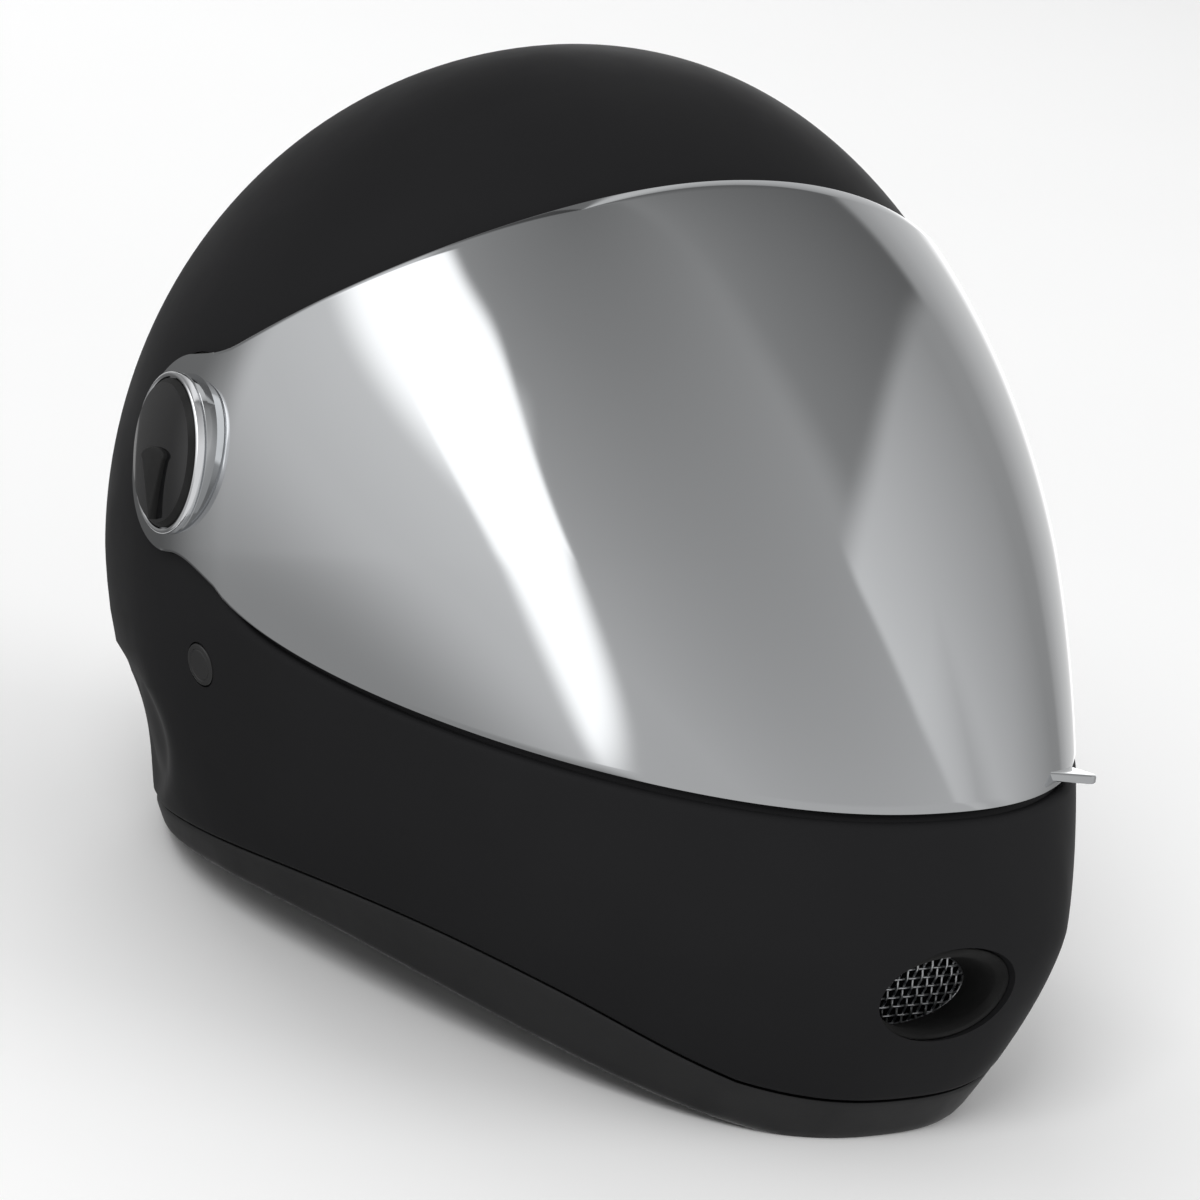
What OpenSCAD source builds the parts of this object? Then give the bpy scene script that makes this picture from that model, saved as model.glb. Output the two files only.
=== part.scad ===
// Full-face downhill bike helmet with a mirrored flip-up visor.
// Every shape is written with the head upright: +Z up, the face towards -Y,
// the wearer's left at +X, and Z zero at the chin. The helmet is then tipped back
// by the slope of its rim, so that it stands on chin and nape at Z zero.

/* [Shell size] */
// Half of the shell's width at its widest level
shell_half_w = 118; // [114:0.5:122]
// Height of the widest level above the chin
widest_z = 148; // [144:0.5:152]
// Height of the crown above the chin
crown_z = 280; // [276:0.5:284]
// How far the crown's top lies behind the middle
crown_back = 5; // [3:0.5:7]
// Reach of the chin bar in front of the middle
front_reach = 153; // [150:0.5:157]
// Height at which the chin bar reaches furthest
front_z = 51; // [46:0.5:56]
// Reach of the back of the shell behind the middle
back_reach = 141; // [138:0.5:145]
// Height at which the back reaches furthest
back_z = 138; // [133:0.5:143]
// Thickness of the shell's wall
shell_t = 4; // [3:0.1:4.5]

/* [Shell form] */
// Share of the width that the side loses down to the chin
side_taper = 0.50; // [0.44:0.01:0.54]
// Share of the front reach that the chin bar loses down to its rim
front_taper = 0.21; // [0.16:0.01:0.26]
// Share of the back reach that the nape loses down to the chin's level
back_taper = 0.26; // [0.2:0.01:0.3]
// Power of the side's curve, 2 is an ellipse
side_power = 2.06; // [2:0.01:2.15]
// Power of the face's curve, lower is straighter
face_power = 1.49; // [1.45:0.01:1.6]
// Power of the horizontal section at the face
section_front = 2.1; // [2.05:0.01:2.2]
// Power of the horizontal section at the back
section_back = 2.2; // [2.1:0.01:2.3]
// Depth of the hollow in the rear lower side
scoop_depth = 4.5; // [0:0.5:6]
// Height of the middle of that hollow
scoop_z = 98; // [92:1:104]

/* [Rim] */
// Slope of the rim's resting plane, by which the standing helmet leans back
rake = 16.5; // [15.5:0.1:17.5]
// Rise of the rim over the shoulders
rim_arch = 14.5; // [10:0.5:17]
// Height of the rubber rim at the nape
trim_rear = 9; // [8:0.5:11]
// Height of the rubber rim beside the chin
trim_side = 20; // [15:0.5:22]
// Height of the rubber lip that grips the shell from inside
trim_grip = 8; // [5:0.5:10]

/* [Visor] */
// Height of the visor's top edge at the ear
visor_ear_top = 200; // [198:0.5:202]
// Rise of the visor's top edge from the ear to the brow
brow_rise = 42.5; // [39:0.5:44]
// Height of the visor's bottom edge in front
visor_chin_z = 85; // [83:0.5:88]
// Climb of the visor's bottom edge from the front to the ear
edge_climb = 53.5; // [50:0.5:56]
// Thickness of the visor
visor_t = 1.5; // [1.2:0.1:1.8]
// Gap between the shell and the visor
visor_gap = 1.0; // [1:0.05:1.2]
// Gap between the visor's bottom edge and the chin bar's lip
lip_gap = 2; // [1.4:0.1:2.1]
// Overlap of the visor beyond the eye port's edge
port_overlap = 10; // [8:0.5:12]
// Angle from the front at which the eye port ends
port_half_angle = 75; // [75:5:75]
// Width of the lift tab
tab_w = 22; // [18:1:26]
// Reach of the lift tab
tab_reach = 8.5; // [6:0.5:11]
// Angle from the front at which the lift tab stands
tab_angle = 27; // [24:1:32]
// Slope of the lift tab, down towards its tip
tab_droop = 8; // [0:1:10]

/* [Visor pivot] */
// Distance of the pivot axis behind the middle
pivot_y = 19.5; // [18:0.5:21]
// Height of the pivot axis
pivot_z = 172.3; // [171:0.1:174]
// Radius of the visor's ear
ear_r = 25.5; // [24:0.5:26]
// Radius of the hub that the visor turns on
hub_r = 8; // [6:0.25:9]
// Radial running clearance of turning pieces
run_clear = 0.05; // [0.03:0.01:0.09]
// Thickness of the pivot base plate
base_t = 2.5; // [2:0.1:3]

/* [Knob] */
// Radius of the chrome ring round the knob
bezel_r = 21; // [19:0.25:22]
// Height of the chrome ring over the visor at its middle
bezel_h = 1.6; // [1.4:0.1:2.6]
// Width of the chrome ring's rim
bezel_rim = 1.4; // [1.2:0.1:2.4]
// Angle by which the knob faces backwards
knob_back = 10; // [8:0.5:10.5]
// Angle by which the knob faces upwards
knob_up = 4; // [3:0.5:5.5]
// Height of the knob's dome over its edge
dome_h = 1.3; // [0.8:0.1:1.8]
// Width of the wedge grip at its wide end
grip_w = 15; // [11:0.5:17]

/* [Chin vent] */
// Half of the vent's width
vent_half_w = 21.5; // [17:0.5:23]
// Half of the vent's height
vent_half_h = 12; // [9:0.5:13]
// Height of the vent's middle
vent_z = 40; // [37:0.5:43]
// Distance between the wires of the vent's mesh
mesh_pitch = 3; // [2.6:0.1:4]
// Thickness of the mesh's wires
wire_d = 0.8; // [0.6:0.1:1.2]
// Thickness of the dust filter behind the mesh
filter_t = 3; // [2:0.5:4]

/* [Liners and pads] */
// Thickness of the foam liner
liner_t = 28; // [24:1:30]
// Gap between the shell and what lines it
liner_gap = 1.1; // [0.9:0.1:1.2]
// Thickness of the crown pad at its middle
pad_t = 9; // [6:0.5:10]
// Thickness of the cheek pads at their middle
cheek_t = 30; // [24:1:32]
// Thickness of the foam behind the chin bar
chin_foam_t = 14; // [10:1:16]

/* [Chin strap] */
// Width of the webbing
strap_w = 22; // [18:1:25]
// Thickness of the webbing
strap_t = 1.8; // [1.4:0.1:2.2]
// Radius of the strap rivet's head
rivet_r = 5.6; // [4.5:0.1:6.5]
// Radius of the strap rivet's shank
shank_r = 2.5; // [2:0.1:3]
// Height of the strap rivet
rivet_z = 118; // [115:0.5:120]
// Distance of the strap rivet behind the middle
rivet_y = 11; // [9:0.5:13]
// How far the strap's bow hangs below the rivets, along its own plane
strap_drop = 84; // [78:1:88]

/* [Buckle] */
// Length of the strap's buckle
buckle_l = 34; // [30:1:40]
// Radius of the buckle lever's pin
lever_pin_r = 1.2; // [1:0.1:1.4]
// Where the buckle sits, as an angle along the strap's bow from its lowest point
buckle_turn = 16; // [12:1:20]

/* [Hidden] */
columns = 72;
step_a = 360 / columns;
lip = visor_gap + visor_t;
liner_out = -shell_t - liner_gap;
liner_in = liner_out - liner_t;
rim_front = 0.85 * front_reach;
ear_low_z = visor_chin_z + edge_climb;
plate_gap = 0.3;
seat = 0.3;
pad_seat = 1.4;

// Eased step from 0 to 1
function ramp(t) = let (u = min(max(t, 0), 1)) u * u * (3 - 2 * u);

// Share of a reach at a height: a curve up to the crown, a drawn-in one down to the chin
function bow(z, top, wide, p, taper, q, blend) =
    z >= wide
    ? let (up = min((z - wide) / (top - wide), 1), pp = p + (2 - p) * pow(up, blend))
        pow(max(1 - pow(up, pp), 0), 1 / pp)
    : 1 - taper * pow((wide - z) / wide, q);

// Half width, front, back, middle and the two section powers at a height
function level(z, d) = let (
        top = crown_z + d,
        w = (shell_half_w + d) * bow(z, top, widest_z, side_power, side_taper, 1.61, 3),
        f = bow(z, top, front_z, face_power, front_taper, 1.46, 4.2),
        b = bow(z, top, back_z, 2, back_taper, 1.93, 3),
        low = ramp(1 - z / widest_z),
        high = ramp((z - widest_z) / (crown_z - widest_z)),
        front = z >= front_z
            ? crown_back - (front_reach + d + crown_back) * f
            : -(front_reach + d) * f,
        back = z >= back_z
            ? crown_back + (back_reach + d - crown_back) * b
            : (back_reach + d) * b,
        middle = -1.9 + 8.6 * low + (crown_back + 1.9) * high
    ) [w, front, back, middle,
        section_front + 0.35 * low, section_back + 0.14 * low - 0.13 * high];

// Depth of the hollow in the rear lower side
function scoop(z, a) = let (e = norm([(acos(cos(a)) - 124) / 21, (z - scoop_z) / 24]))
    scoop_depth * ramp(2 - 2 * e);

// Point of the skin at a height and an angle from the front, a distance d outside the shell
function skin(z, a, d) = let (
        dd = d - scoop(z, a),
        v = level(z, dd),
        s = sin(a),
        c = cos(a),
        n = c > 0 ? v[4] : v[5],
        reach = c > 0 ? v[1] - v[3] : v[2] - v[3]
    ) [v[0] * sign(s) * pow(abs(s), 2 / n), v[3] + reach * pow(abs(c), 2 / n), z];

// Distance of the skin's side from the middle plane at a place of the side view
function side_x(y, z, d) = let (
        v = level(z, d),
        n = y < v[3] ? v[4] : v[5],
        t = abs((y - v[3]) / (y < v[3] ? v[1] - v[3] : v[2] - v[3]))
    ) v[0] * pow(max(1 - pow(t, n), 0), 1 / n);

// Height of the rim at a place along the side, and of points that follow it
function rim_z(y) = tan(rake) * (y + rim_front) + rim_arch * max(0, 1 - pow((y + 8) / 110, 2));
function follow(a, d, rise, z = 40, n = 5) =
    n == 0 ? z : follow(a, d, rise, let (y = skin(z, a, d)[1]) rim_z(y) + rise * trim_h(y), n - 1);
function trim_h(y) = trim_rear
    + (trim_side - trim_rear) * exp(-pow((y + 85) / (y < -85 ? 45 : 85), 2));
function groove(a) = follow(a, 0, 1);

// Edges of the visor and of the eye port behind it
function top_edge(a) = visor_ear_top + brow_rise * cos(a);
function low_edge(a) = ear_low_z - edge_climb * pow(max(cos(a), 0), 0.764);
function port_share(a) = abs(a) < port_half_angle
    ? sqrt(1 - pow(abs(a) / port_half_angle, 6)) : 0;
port_mid = (low_edge(port_half_angle) + top_edge(port_half_angle)) / 2;
function port_low(a) = port_mid - (port_mid - low_edge(a) - port_overlap) * port_share(a);
function port_high(a) = port_mid + (top_edge(a) - port_overlap - port_mid) * port_share(a);

// How far the shell stands out below the visor, fading out behind the ear
function lip_at(a) = lip * (1 - ramp((abs(a) - 95) / 35));

// Shared frames
module stand() {
    translate([0, stand_shift, 0])
        rotate([-rake, 0, 0])
            translate([0, rim_front, 0])
                children();
}

// Standing y of a point
function standing_y(p) = cos(rake) * (p[1] + rim_front) + sin(rake) * p[2];

// A closed sheet of two layers of points, open at all four edges
module sheet(outer, inner) {
    rows = len(outer);
    cols = len(outer[0]);
    n = rows * cols;
    at = function (j, i) j * cols + i;
    faces = [
        for (j = [0 : rows - 2], i = [0 : cols - 2])
            let (a = at(j, i), b = at(j, i + 1), c = at(j + 1, i + 1), d = at(j + 1, i))
            each [[a, d, c], [a, c, b], [n + a, n + b, n + c], [n + a, n + c, n + d]],
        for (i = [0 : cols - 2])
            let (a = at(0, i), b = at(0, i + 1), d = at(rows - 1, i), c = at(rows - 1, i + 1))
            each [[a, b, n + b], [a, n + b, n + a], [c, d, n + d], [c, n + d, n + c]],
        for (j = [0 : rows - 2])
            let (a = at(j, 0), d = at(j + 1, 0), b = at(j, cols - 1), c = at(j + 1, cols - 1))
            each [[d, a, n + a], [d, n + a, n + d], [b, c, n + c], [b, n + c, n + b]]
    ];
    polyhedron(points = [for (r = outer) each r, for (r = inner) each r], faces = faces,
        convexity = 8);
}

// A closed bowl of two layers of points, each ending in one point at the crown
module bowl(outer, inner, outer_top, inner_top) {
    rows = len(outer);
    cols = len(outer[0]);
    n = rows * cols + 1;
    at = function (j, i) j * cols + i % cols;
    faces = [
        for (j = [0 : rows - 2], i = [0 : cols - 1])
            let (a = at(j, i), b = at(j, i + 1), c = at(j + 1, i + 1), d = at(j + 1, i))
            each [[a, d, c], [a, c, b], [n + a, n + b, n + c], [n + a, n + c, n + d]],
        for (i = [0 : cols - 1])
            let (a = at(0, i), b = at(0, i + 1), d = at(rows - 1, i), c = at(rows - 1, i + 1))
            each [[a, b, n + b], [a, n + b, n + a],
                [d, n - 1, c], [n + d, n + c, 2 * n - 1]]
    ];
    polyhedron(points = [for (r = outer) each r, outer_top, for (r = inner) each r, inner_top],
        faces = faces, convexity = 8);
}

// A closed ring of cross-sections
module ring(sections) {
    rows = len(sections);
    cols = len(sections[0]);
    at = function (j, i) (j % rows) * cols + i % cols;
    faces = [
        for (j = [0 : rows - 1], i = [0 : cols - 1])
            let (a = at(j, i), b = at(j, i + 1), c = at(j + 1, i + 1), d = at(j + 1, i))
            each [[a, c, b], [a, d, c]]
    ];
    polyhedron(points = [for (r = sections) each r], faces = faces, convexity = 8);
}

// Turns +Z onto the outward direction of the wearer's left side
module face_left(back, up) {
    rotate([0, 0, back])
        rotate([0, 90 - up, 0])
            children();
}

// Lean of the skin's side at a place, backwards and upwards
function lean_back(y, z) = atan((side_x(y - 2, z, 0) - side_x(y + 2, z, 0)) / 4);
function lean_up(y, z) = atan((side_x(y, z - 2, 0) - side_x(y, z + 2, 0)) / 4);

module at_right(on) {
    if (on)
        mirror([1, 0, 0])
            children();
    else
        children();
}

// The shell

low_rows = 7;
high_rows = 9;

function shell_low(a) = let (
        g = groove(a),
        e = low_edge(a),
        l = lip_at(a)
    ) [
        for (j = [0 : 4]) [g + (e - lip_gap - 3 - g) * j / 4, l],
        [e - lip_gap - 0.8, l * 0.8],
        [e - lip_gap, 0],
        [port_low(a), 0]
    ];
function shell_high(a) = [
    for (j = [0 : high_rows - 1]) [port_high(a) + (crown_z - port_high(a)) * sin(90 * j / high_rows), 0]
];
function inward(z, a, t) = let (g = groove(a)) z - t * (z - g) / (crown_z - g);

col_a = [for (i = [0 : columns - 1]) i * step_a - 180];
low_cols = [for (a = col_a) shell_low(a)];
high_cols = [for (a = col_a) shell_high(a)];

// Two copies of the grid, the outer skin and the inner wall
shell_out = [
    for (j = [0 : low_rows], i = [0 : columns - 1])
        skin(low_cols[i][j][0], col_a[i], low_cols[i][j][1]),
    for (j = [0 : high_rows - 1], i = [0 : columns - 1])
        skin(high_cols[i][j][0], col_a[i], 0),
    [0, crown_back, crown_z]
];
shell_in = [
    for (j = [0 : low_rows], i = [0 : columns - 1])
        skin(inward(low_cols[i][j][0], col_a[i], shell_t), col_a[i], -shell_t),
    for (j = [0 : high_rows - 1], i = [0 : columns - 1])
        skin(inward(high_cols[i][j][0], col_a[i], shell_t), col_a[i], -shell_t),
    [0, crown_back, crown_z - shell_t]
];
visor_front = skin(low_edge(0), 0, visor_in(low_edge(0), 0) + visor_t);
stand_shift = let (ys = [for (p = [each shell_out, visor_front]) standing_y(p)])
    -(min(ys) + max(ys)) / 2;

function shut(i) = abs(col_a[i % columns]) >= port_half_angle - 0.01;

module shell_body() {
    n = len(shell_out);
    base = (low_rows + 1) * columns;
    lo = function (j, i) j * columns + i % columns;
    hi = function (j, i) j == 0 && shut(i) ? lo(low_rows, i) : base + j * columns + i % columns;
    quads = [
        for (j = [0 : low_rows - 1], i = [0 : columns - 1])
            [lo(j, i), lo(j, i + 1), lo(j + 1, i + 1), lo(j + 1, i)],
        for (j = [0 : high_rows - 2], i = [0 : columns - 1])
            [hi(j, i), hi(j, i + 1), hi(j + 1, i + 1), hi(j + 1, i)]
    ];
    faces = [
        for (q = quads)
            each [[q[0], q[3], q[2]], [q[0], q[2], q[1]],
                [n + q[0], n + q[1], n + q[2]], [n + q[0], n + q[2], n + q[3]]],
        for (i = [0 : columns - 1])
            let (a = lo(0, i), b = lo(0, i + 1), d = hi(high_rows - 1, i), c = hi(high_rows - 1, i + 1))
            each [[a, b, n + b], [a, n + b, n + a], [d, n - 1, c], [n + d, n + c, 2 * n - 1]],
        for (i = [0 : columns - 1])
            if (!(shut(i) && shut(i + 1)))
                let (a = hi(0, i), b = hi(0, i + 1), d = lo(low_rows, i), c = lo(low_rows, i + 1))
                each [[a, b, n + b], [a, n + b, n + a], [c, d, n + d], [c, n + d, n + c]]
    ];
    polyhedron(points = concat(shell_out, shell_in), faces = faces, convexity = 10);
}

// Places of the pivot and what is stacked on its axis
pivot_x = side_x(pivot_y, pivot_z, 0);
pivot_back = lean_back(pivot_y, pivot_z);
pivot_up = lean_up(pivot_y, pivot_z);
ear_dip = ear_r * tan(norm([pivot_back, pivot_up])) + ear_r * ear_r / 210;
base_face = pivot_x + visor_gap - ear_dip - 0.4;
base_back = base_face - base_t;
ledge_t = 2;
ledge_r = 19;
hole_r = ear_r + 0.6;
socket_r = hole_r + 2.6;
socket_sink = 3.6;
washer_t = 0.8;
shoulder_r = 12;
shoulder_t = 1;
retainer_r = 11;
retainer_t = 1.6;
screw_r = 2;
hub_end = base_back - seat;

// Knob
boss_t = 4.5;
boss_up = 0.2;
boss_r = bezel_r - 0.1;
cap_r = bezel_r - bezel_rim - 0.3;
cup_floor = 0.8;
chamfer_w = 1.2;
chamfer_h = 1.4;
cap_shaft_r = 4;
cap_shaft_l = 3;
hub_top = pivot_x - 1.4;
tab_tip = 3.5;

// Vent
vent_y = face_y(0, vent_z, 0);
vent_lean = atan((face_y(0, vent_z - 8, 0) - face_y(0, vent_z + 8, 0)) / 16);
vent_depth = 18;

// Strap
strap_lean = 59.4;
strap_a = side_x(rivet_y, rivet_z, 0) - shell_t - 4.4;
rivet_back = lean_back(rivet_y, rivet_z);
rivet_up = lean_up(rivet_y, rivet_z);

// Distance of the face's skin from the middle, at a place of the front view
function face_y(x, z, d) = let (v = level(z, d))
    v[3] + (v[1] - v[3]) * pow(max(1 - pow(abs(x) / v[0], v[4]), 0), 1 / v[4]);

module at_pivot(x) {
    translate([x, pivot_y, pivot_z])
        rotate([0, 90, 0])
            children();
}

module at_knob() {
    translate([pivot_x + lip, pivot_y, pivot_z])
        face_left(knob_back, knob_up)
            translate([0, 0, boss_up])
                children();
}

module at_rivet() {
    translate([side_x(rivet_y, rivet_z, lip), rivet_y, rivet_z])
        face_left(rivet_back, rivet_up)
            children();
}

module both_sides() {
    for (on = [false, true])
        at_right(on)
            children();
}

module vent_hole(grow) {
    translate([0, vent_y + 40, vent_z])
        rotate([90, 0, 0])
            linear_extrude(height = 60)
                vent_outline(grow);
}

module vent_outline(grow) {
    polygon([
        for (t = [0 : 9 : 351])
            [(vent_half_w + grow) * cos(t), (vent_half_h + grow) * sin(t)]
    ]);
}

module pivot_socket() {
    difference() {
        at_pivot(base_back - ledge_t)
            cylinder(r = socket_r, h = 30, $fn = 64);
        translate([pivot_x, pivot_y, pivot_z])
            face_left(pivot_back, pivot_up)
                translate([-50, -50, -socket_sink])
                    cube([100, 100, 40]);
    }
}

module outer_shell() {
    color([0.06, 0.06, 0.065])
        stand()
            difference() {
                union() {
                    shell_body();
                    both_sides()
                        pivot_socket();
                }
                both_sides() {
                    at_pivot(base_back)
                        cylinder(r = hole_r, h = 40, $fn = 64);
                    at_pivot(base_back - ledge_t - 1)
                        cylinder(r = ledge_r, h = 40, $fn = 64);
                    at_rivet()
                        translate([0, 0, -30])
                            cylinder(r = shank_r + run_clear, h = 60, $fn = 32);
                    at_rivet()
                        translate([0, 0, -1.2])
                            cylinder(r = rivet_r + seat, h = 20, $fn = 48);
                }
                vent_hole(0);
            }
}

// Rubber rim: an outer band below the shell and a lip that grips it from inside
foot_cut = 0.4;
module base_trim() {
    color([0.05, 0.05, 0.05])
        difference() {
            stand()
                ring([
                    for (a = col_a)
                        let (
                            g = groove(a),
                            l = lip_at(a)
                        ) [
                            skin(follow(a, l, 0) + 1.5, a, l - 0.2),
                            skin(follow(a, l, 0) - foot_cut, a, l - 1.7),
                            skin(follow(a, -6, 0) - foot_cut, a, -6),
                            skin(follow(a, -6.6, 0) + 2, a, -6.8),
                            skin(g + trim_grip, a, -shell_t - 3.2),
                            skin(g + trim_grip, a, -shell_t - 1.6),
                            skin(g - 0.7, a, -shell_t - 1.6),
                            skin(g - 0.7, a, l - 1.6),
                            skin(g - 1.8, a, l - 0.2)
                        ]
                ]);
            translate([-200, -300, -20])
                cube([400, 600, 20]);
        }
}

// Rubber seal on the eye port's edge
port_cols = [for (a = col_a) if (abs(a) < port_half_angle - 0.01) a];
port_loop = concat(
    [[-port_half_angle + 0.4, 0]],
    [for (a = port_cols) [a, -1]],
    [[port_half_angle - 0.4, 0]],
    [for (i = [len(port_cols) - 1 : -1 : 0]) [port_cols[i], 1]]
);
function port_at(q, inset, d) = let (
        share = (port_half_angle - inset / 1.9) / port_half_angle,
        a = q[0] * share,
        z = q[1] == 0 ? port_mid
            : q[1] < 0 ? min(port_low(q[0]) + inset, port_mid - 0.5 - inset)
            : max(port_high(q[0]) - inset, port_mid + 0.5 + inset)
    ) skin(inward(z, q[1] == 0 ? a : q[0], -d), q[1] == 0 ? a : q[0], d);

module port_gasket() {
    color([0.09, 0.09, 0.09])
        stand()
            ring([
                for (q = port_loop)
                    [port_at(q, 0.5, -0.6), port_at(q, 0.5, -shell_t - 1.2),
                        port_at(q, 2.2, -shell_t - 1.2), port_at(q, 2.2, -0.9)]
            ]);
}

module vent_frame() {
    back = vent_y + vent_depth;
    slope = -tan(vent_lean);
    color([0.08, 0.08, 0.085])
        stand()
            ring([
                for (t = [0 : 9 : 351])
                    let (
                        c = cos(t),
                        s = sin(t),
                        ow = vent_half_w - 0.3,
                        oh = vent_half_h - 0.3,
                        zo = vent_z + oh * s,
                        zi = vent_z + (oh - 2.4) * s,
                        zn = vent_z + (oh - 1.4) * s
                    ) [
                        [ow * c, back + slope * (zo - vent_z), zo],
                        [(ow - 2.4) * c, back + slope * (zi - vent_z), zi],
                        [(ow - 2.4) * c, face_y(ow * c, zo, lip - 5), zi],
                        [(ow - 1.2) * c, face_y(ow * c, zo, lip - 2.6), zn],
                        [ow * c, face_y(ow * c, zo, lip - 2.2), zo]
                    ]
            ]);
}

module vent_mesh() {
    bars_x = floor(vent_half_w / mesh_pitch);
    bars_z = floor(vent_half_h / mesh_pitch);
    color([0.5, 0.5, 0.52])
        stand()
            translate([0, vent_y + vent_depth + 0.02, vent_z])
                rotate([90 + vent_lean, 0, 0])
                    translate([0, 0, -wire_d])
                        linear_extrude(height = wire_d)
                            union() {
                                difference() {
                                    scale([1, 1 / cos(vent_lean)])
                                        vent_outline(-0.4);
                                    scale([1, 1 / cos(vent_lean)])
                                        vent_outline(-2.4);
                                }
                                intersection() {
                                    scale([1, 1 / cos(vent_lean)])
                                        vent_outline(-1);
                                    union() {
                                        for (i = [-bars_x : bars_x])
                                            translate([i * mesh_pitch - wire_d / 2, -30])
                                                square([wire_d, 60]);
                                        for (i = [-bars_z : bars_z])
                                            translate([-40, i * mesh_pitch - wire_d / 2])
                                                square([80, wire_d]);
                                    }
                                }
                            }
}

module vent_filter() {
    color([0.05, 0.05, 0.05])
        stand()
            translate([0, vent_y + vent_depth + 0.02, vent_z])
                rotate([90 + vent_lean, 0, 0])
                    translate([0, 0, -wire_d - 0.05 - filter_t])
                        linear_extrude(height = filter_t)
                            scale([1, 1 / cos(vent_lean)])
                                vent_outline(-0.6);
}

// Foam skull liner with a notch over each ear
liner_rows = 10;
function liner_low(a) = let (b = acos(cos(a)))
    b <= port_half_angle + 5 ? port_high(a) + 4 : b < 110 ? 137 : groove(a) + trim_grip + 3;
function liner_share(a, j) = 1 - 0.5 * ramp(cos(a)) * (1 - j / liner_rows);
function liner_z(a, j) = let (z = liner_low(a)) z + (crown_z + liner_out - z) * sin(90 * j / liner_rows);

function liner_d(z, a) = let (b = acos(cos(a)))
    liner_out - scoop_depth * ramp((150 - b) / 12) * ramp((b - 88) / 10) * ramp((170 - z) / 20);

module energy_liner() {
    color([0.16, 0.16, 0.17])
        stand()
            difference() {
                bowl(
                    [for (j = [0 : liner_rows - 1])
                        [for (a = col_a) let (z = liner_z(a, j)) skin(z, a, liner_d(z, a) + scoop(z, a))]],
                    [for (j = [0 : liner_rows - 1])
                        [for (a = col_a)
                            let (
                                d = liner_out - liner_t * liner_share(a, j),
                                low = liner_low(a),
                                z = liner_z(a, j)
                            ) let (zi = low + (z - low) * (crown_z + d - low) / (crown_z + liner_out - low))
                                skin(zi, a, d + scoop(zi, a))]],
                    [0, crown_back, crown_z + liner_out],
                    [0, crown_back, crown_z + liner_in]
                );
                both_sides()
                    at_pivot(hub_end - retainer_t - 2.4)
                        cylinder(r = socket_r + 0.5, h = 40, $fn = 64);
            }
}

// Cushion between two heights and two angles; it swells inwards
module cushion(a1, a2, low, high, d, thick, edge, na, nz) {
    at = function (j, i, inner) let (
            u = i / na,
            v = j / nz,
            a = a1 + (a2 - a1) * u,
            full = sqrt((1 - pow(abs(2 * u - 1), 4)) * (1 - pow(abs(2 * v - 1), 4))),
            z = low(a) + (high(a) - low(a)) * v
        ) inner ? skin(z, a, d - edge - (thick - edge) * full) : skin(z, a, d);
    sheet(
        [for (j = [0 : nz]) [for (i = [0 : na]) at(j, i, false)]],
        [for (j = [0 : nz]) [for (i = [0 : na]) at(j, i, true)]]
    );
}

module chin_liner() {
    color([0.16, 0.16, 0.17])
        stand()
            difference() {
                cushion(-40, 40, function (a) groove(a) + trim_grip + 2, function (a) port_low(a) - 4,
                    liner_out - 0.4, chin_foam_t, chin_foam_t - 3, 16, 6);
                vent_hole(1);
            }
}

module cheek_pad() {
    cushion(45, 74, function (a) groove(a) + 4, function (a) min(port_low(a) - 3, 148),
        -shell_t - 3.6, cheek_t, 8, 12, 12);
}

module side_pad() {
    cushion(112, 150, function (a) 112, function (a) 186, liner_in - pad_seat, pad_t, 3, 10, 10);
}

module brow_pad() {
    color([0.1, 0.1, 0.1])
        stand()
            cushion(-48, 48, function (a) port_high(a) + 5, function (a) port_high(a) + 12,
                liner_out - liner_t * 0.5 - 5.5, pad_t - 2, 3, 16, 5);
}

module neck_roll() {
    color([0.1, 0.1, 0.1])
        stand()
            cushion(154, 206, function (a) groove(a) + 13, function (a) groove(a) + 46,
                liner_in - pad_seat / 2, pad_t + 3, 4, 14, 7);
}

crown_rows = 6;
crown_low = 214;
module crown_pad() {
    cols = [for (i = [0 : 35]) i * 10 - 180];
    out_d = liner_in - pad_seat;
    color([0.1, 0.1, 0.1])
        stand()
            bowl(
                [for (j = [0 : crown_rows - 1])
                    [for (a = cols)
                        skin(crown_low + (crown_z + out_d - crown_low) * sin(90 * j / crown_rows), a, out_d)]],
                [for (j = [0 : crown_rows - 1])
                    [for (a = cols)
                        let (
                            wave = 0.4 + 0.6 * sqrt(abs(sin(3 * a))),
                            t = pad_t * (wave + (1 - wave) * pow(j / crown_rows, 2))
                                * (j == 0 ? 0.5 : 1),
                            top = crown_z + out_d - t
                        ) skin(crown_low + 1 + (top - crown_low - 1) * sin(90 * j / crown_rows), a, out_d - t)]],
                [0, crown_back, crown_z + out_d],
                [0, crown_back, crown_z + out_d - pad_t]
            );
}

// Visor

function visor_in(z, a) = visor_gap + 0.6 * pow(max(cos(a), 0), 4) * ramp((z - 140) / 60);
ear_steps = [82, 74, 64, 52, 38, 24, 12, 0];
visor_rows = 10;
visor_cols = concat(
    [for (e = ear_steps) [-1, e]],
    [for (a = [-90 : step_a : 90]) [0, a]],
    [for (i = [len(ear_steps) - 1 : -1 : 0]) [1, ear_steps[i]]]
);
function visor_at(q, j, outer) =
    q[0] == 0
    ? let (a = q[1], z = low_edge(a) + (top_edge(a) - low_edge(a)) * j / visor_rows)
        skin(z, a, visor_in(z, a) + (outer ? visor_t : 0))
    : let (
            y = pivot_y + ear_r * sin(q[1]),
            h = ear_r * cos(q[1]),
            z = pivot_z - h + 2 * h * j / visor_rows
        ) [q[0] * side_x(y, z, outer ? lip : visor_gap), y, z];

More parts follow.
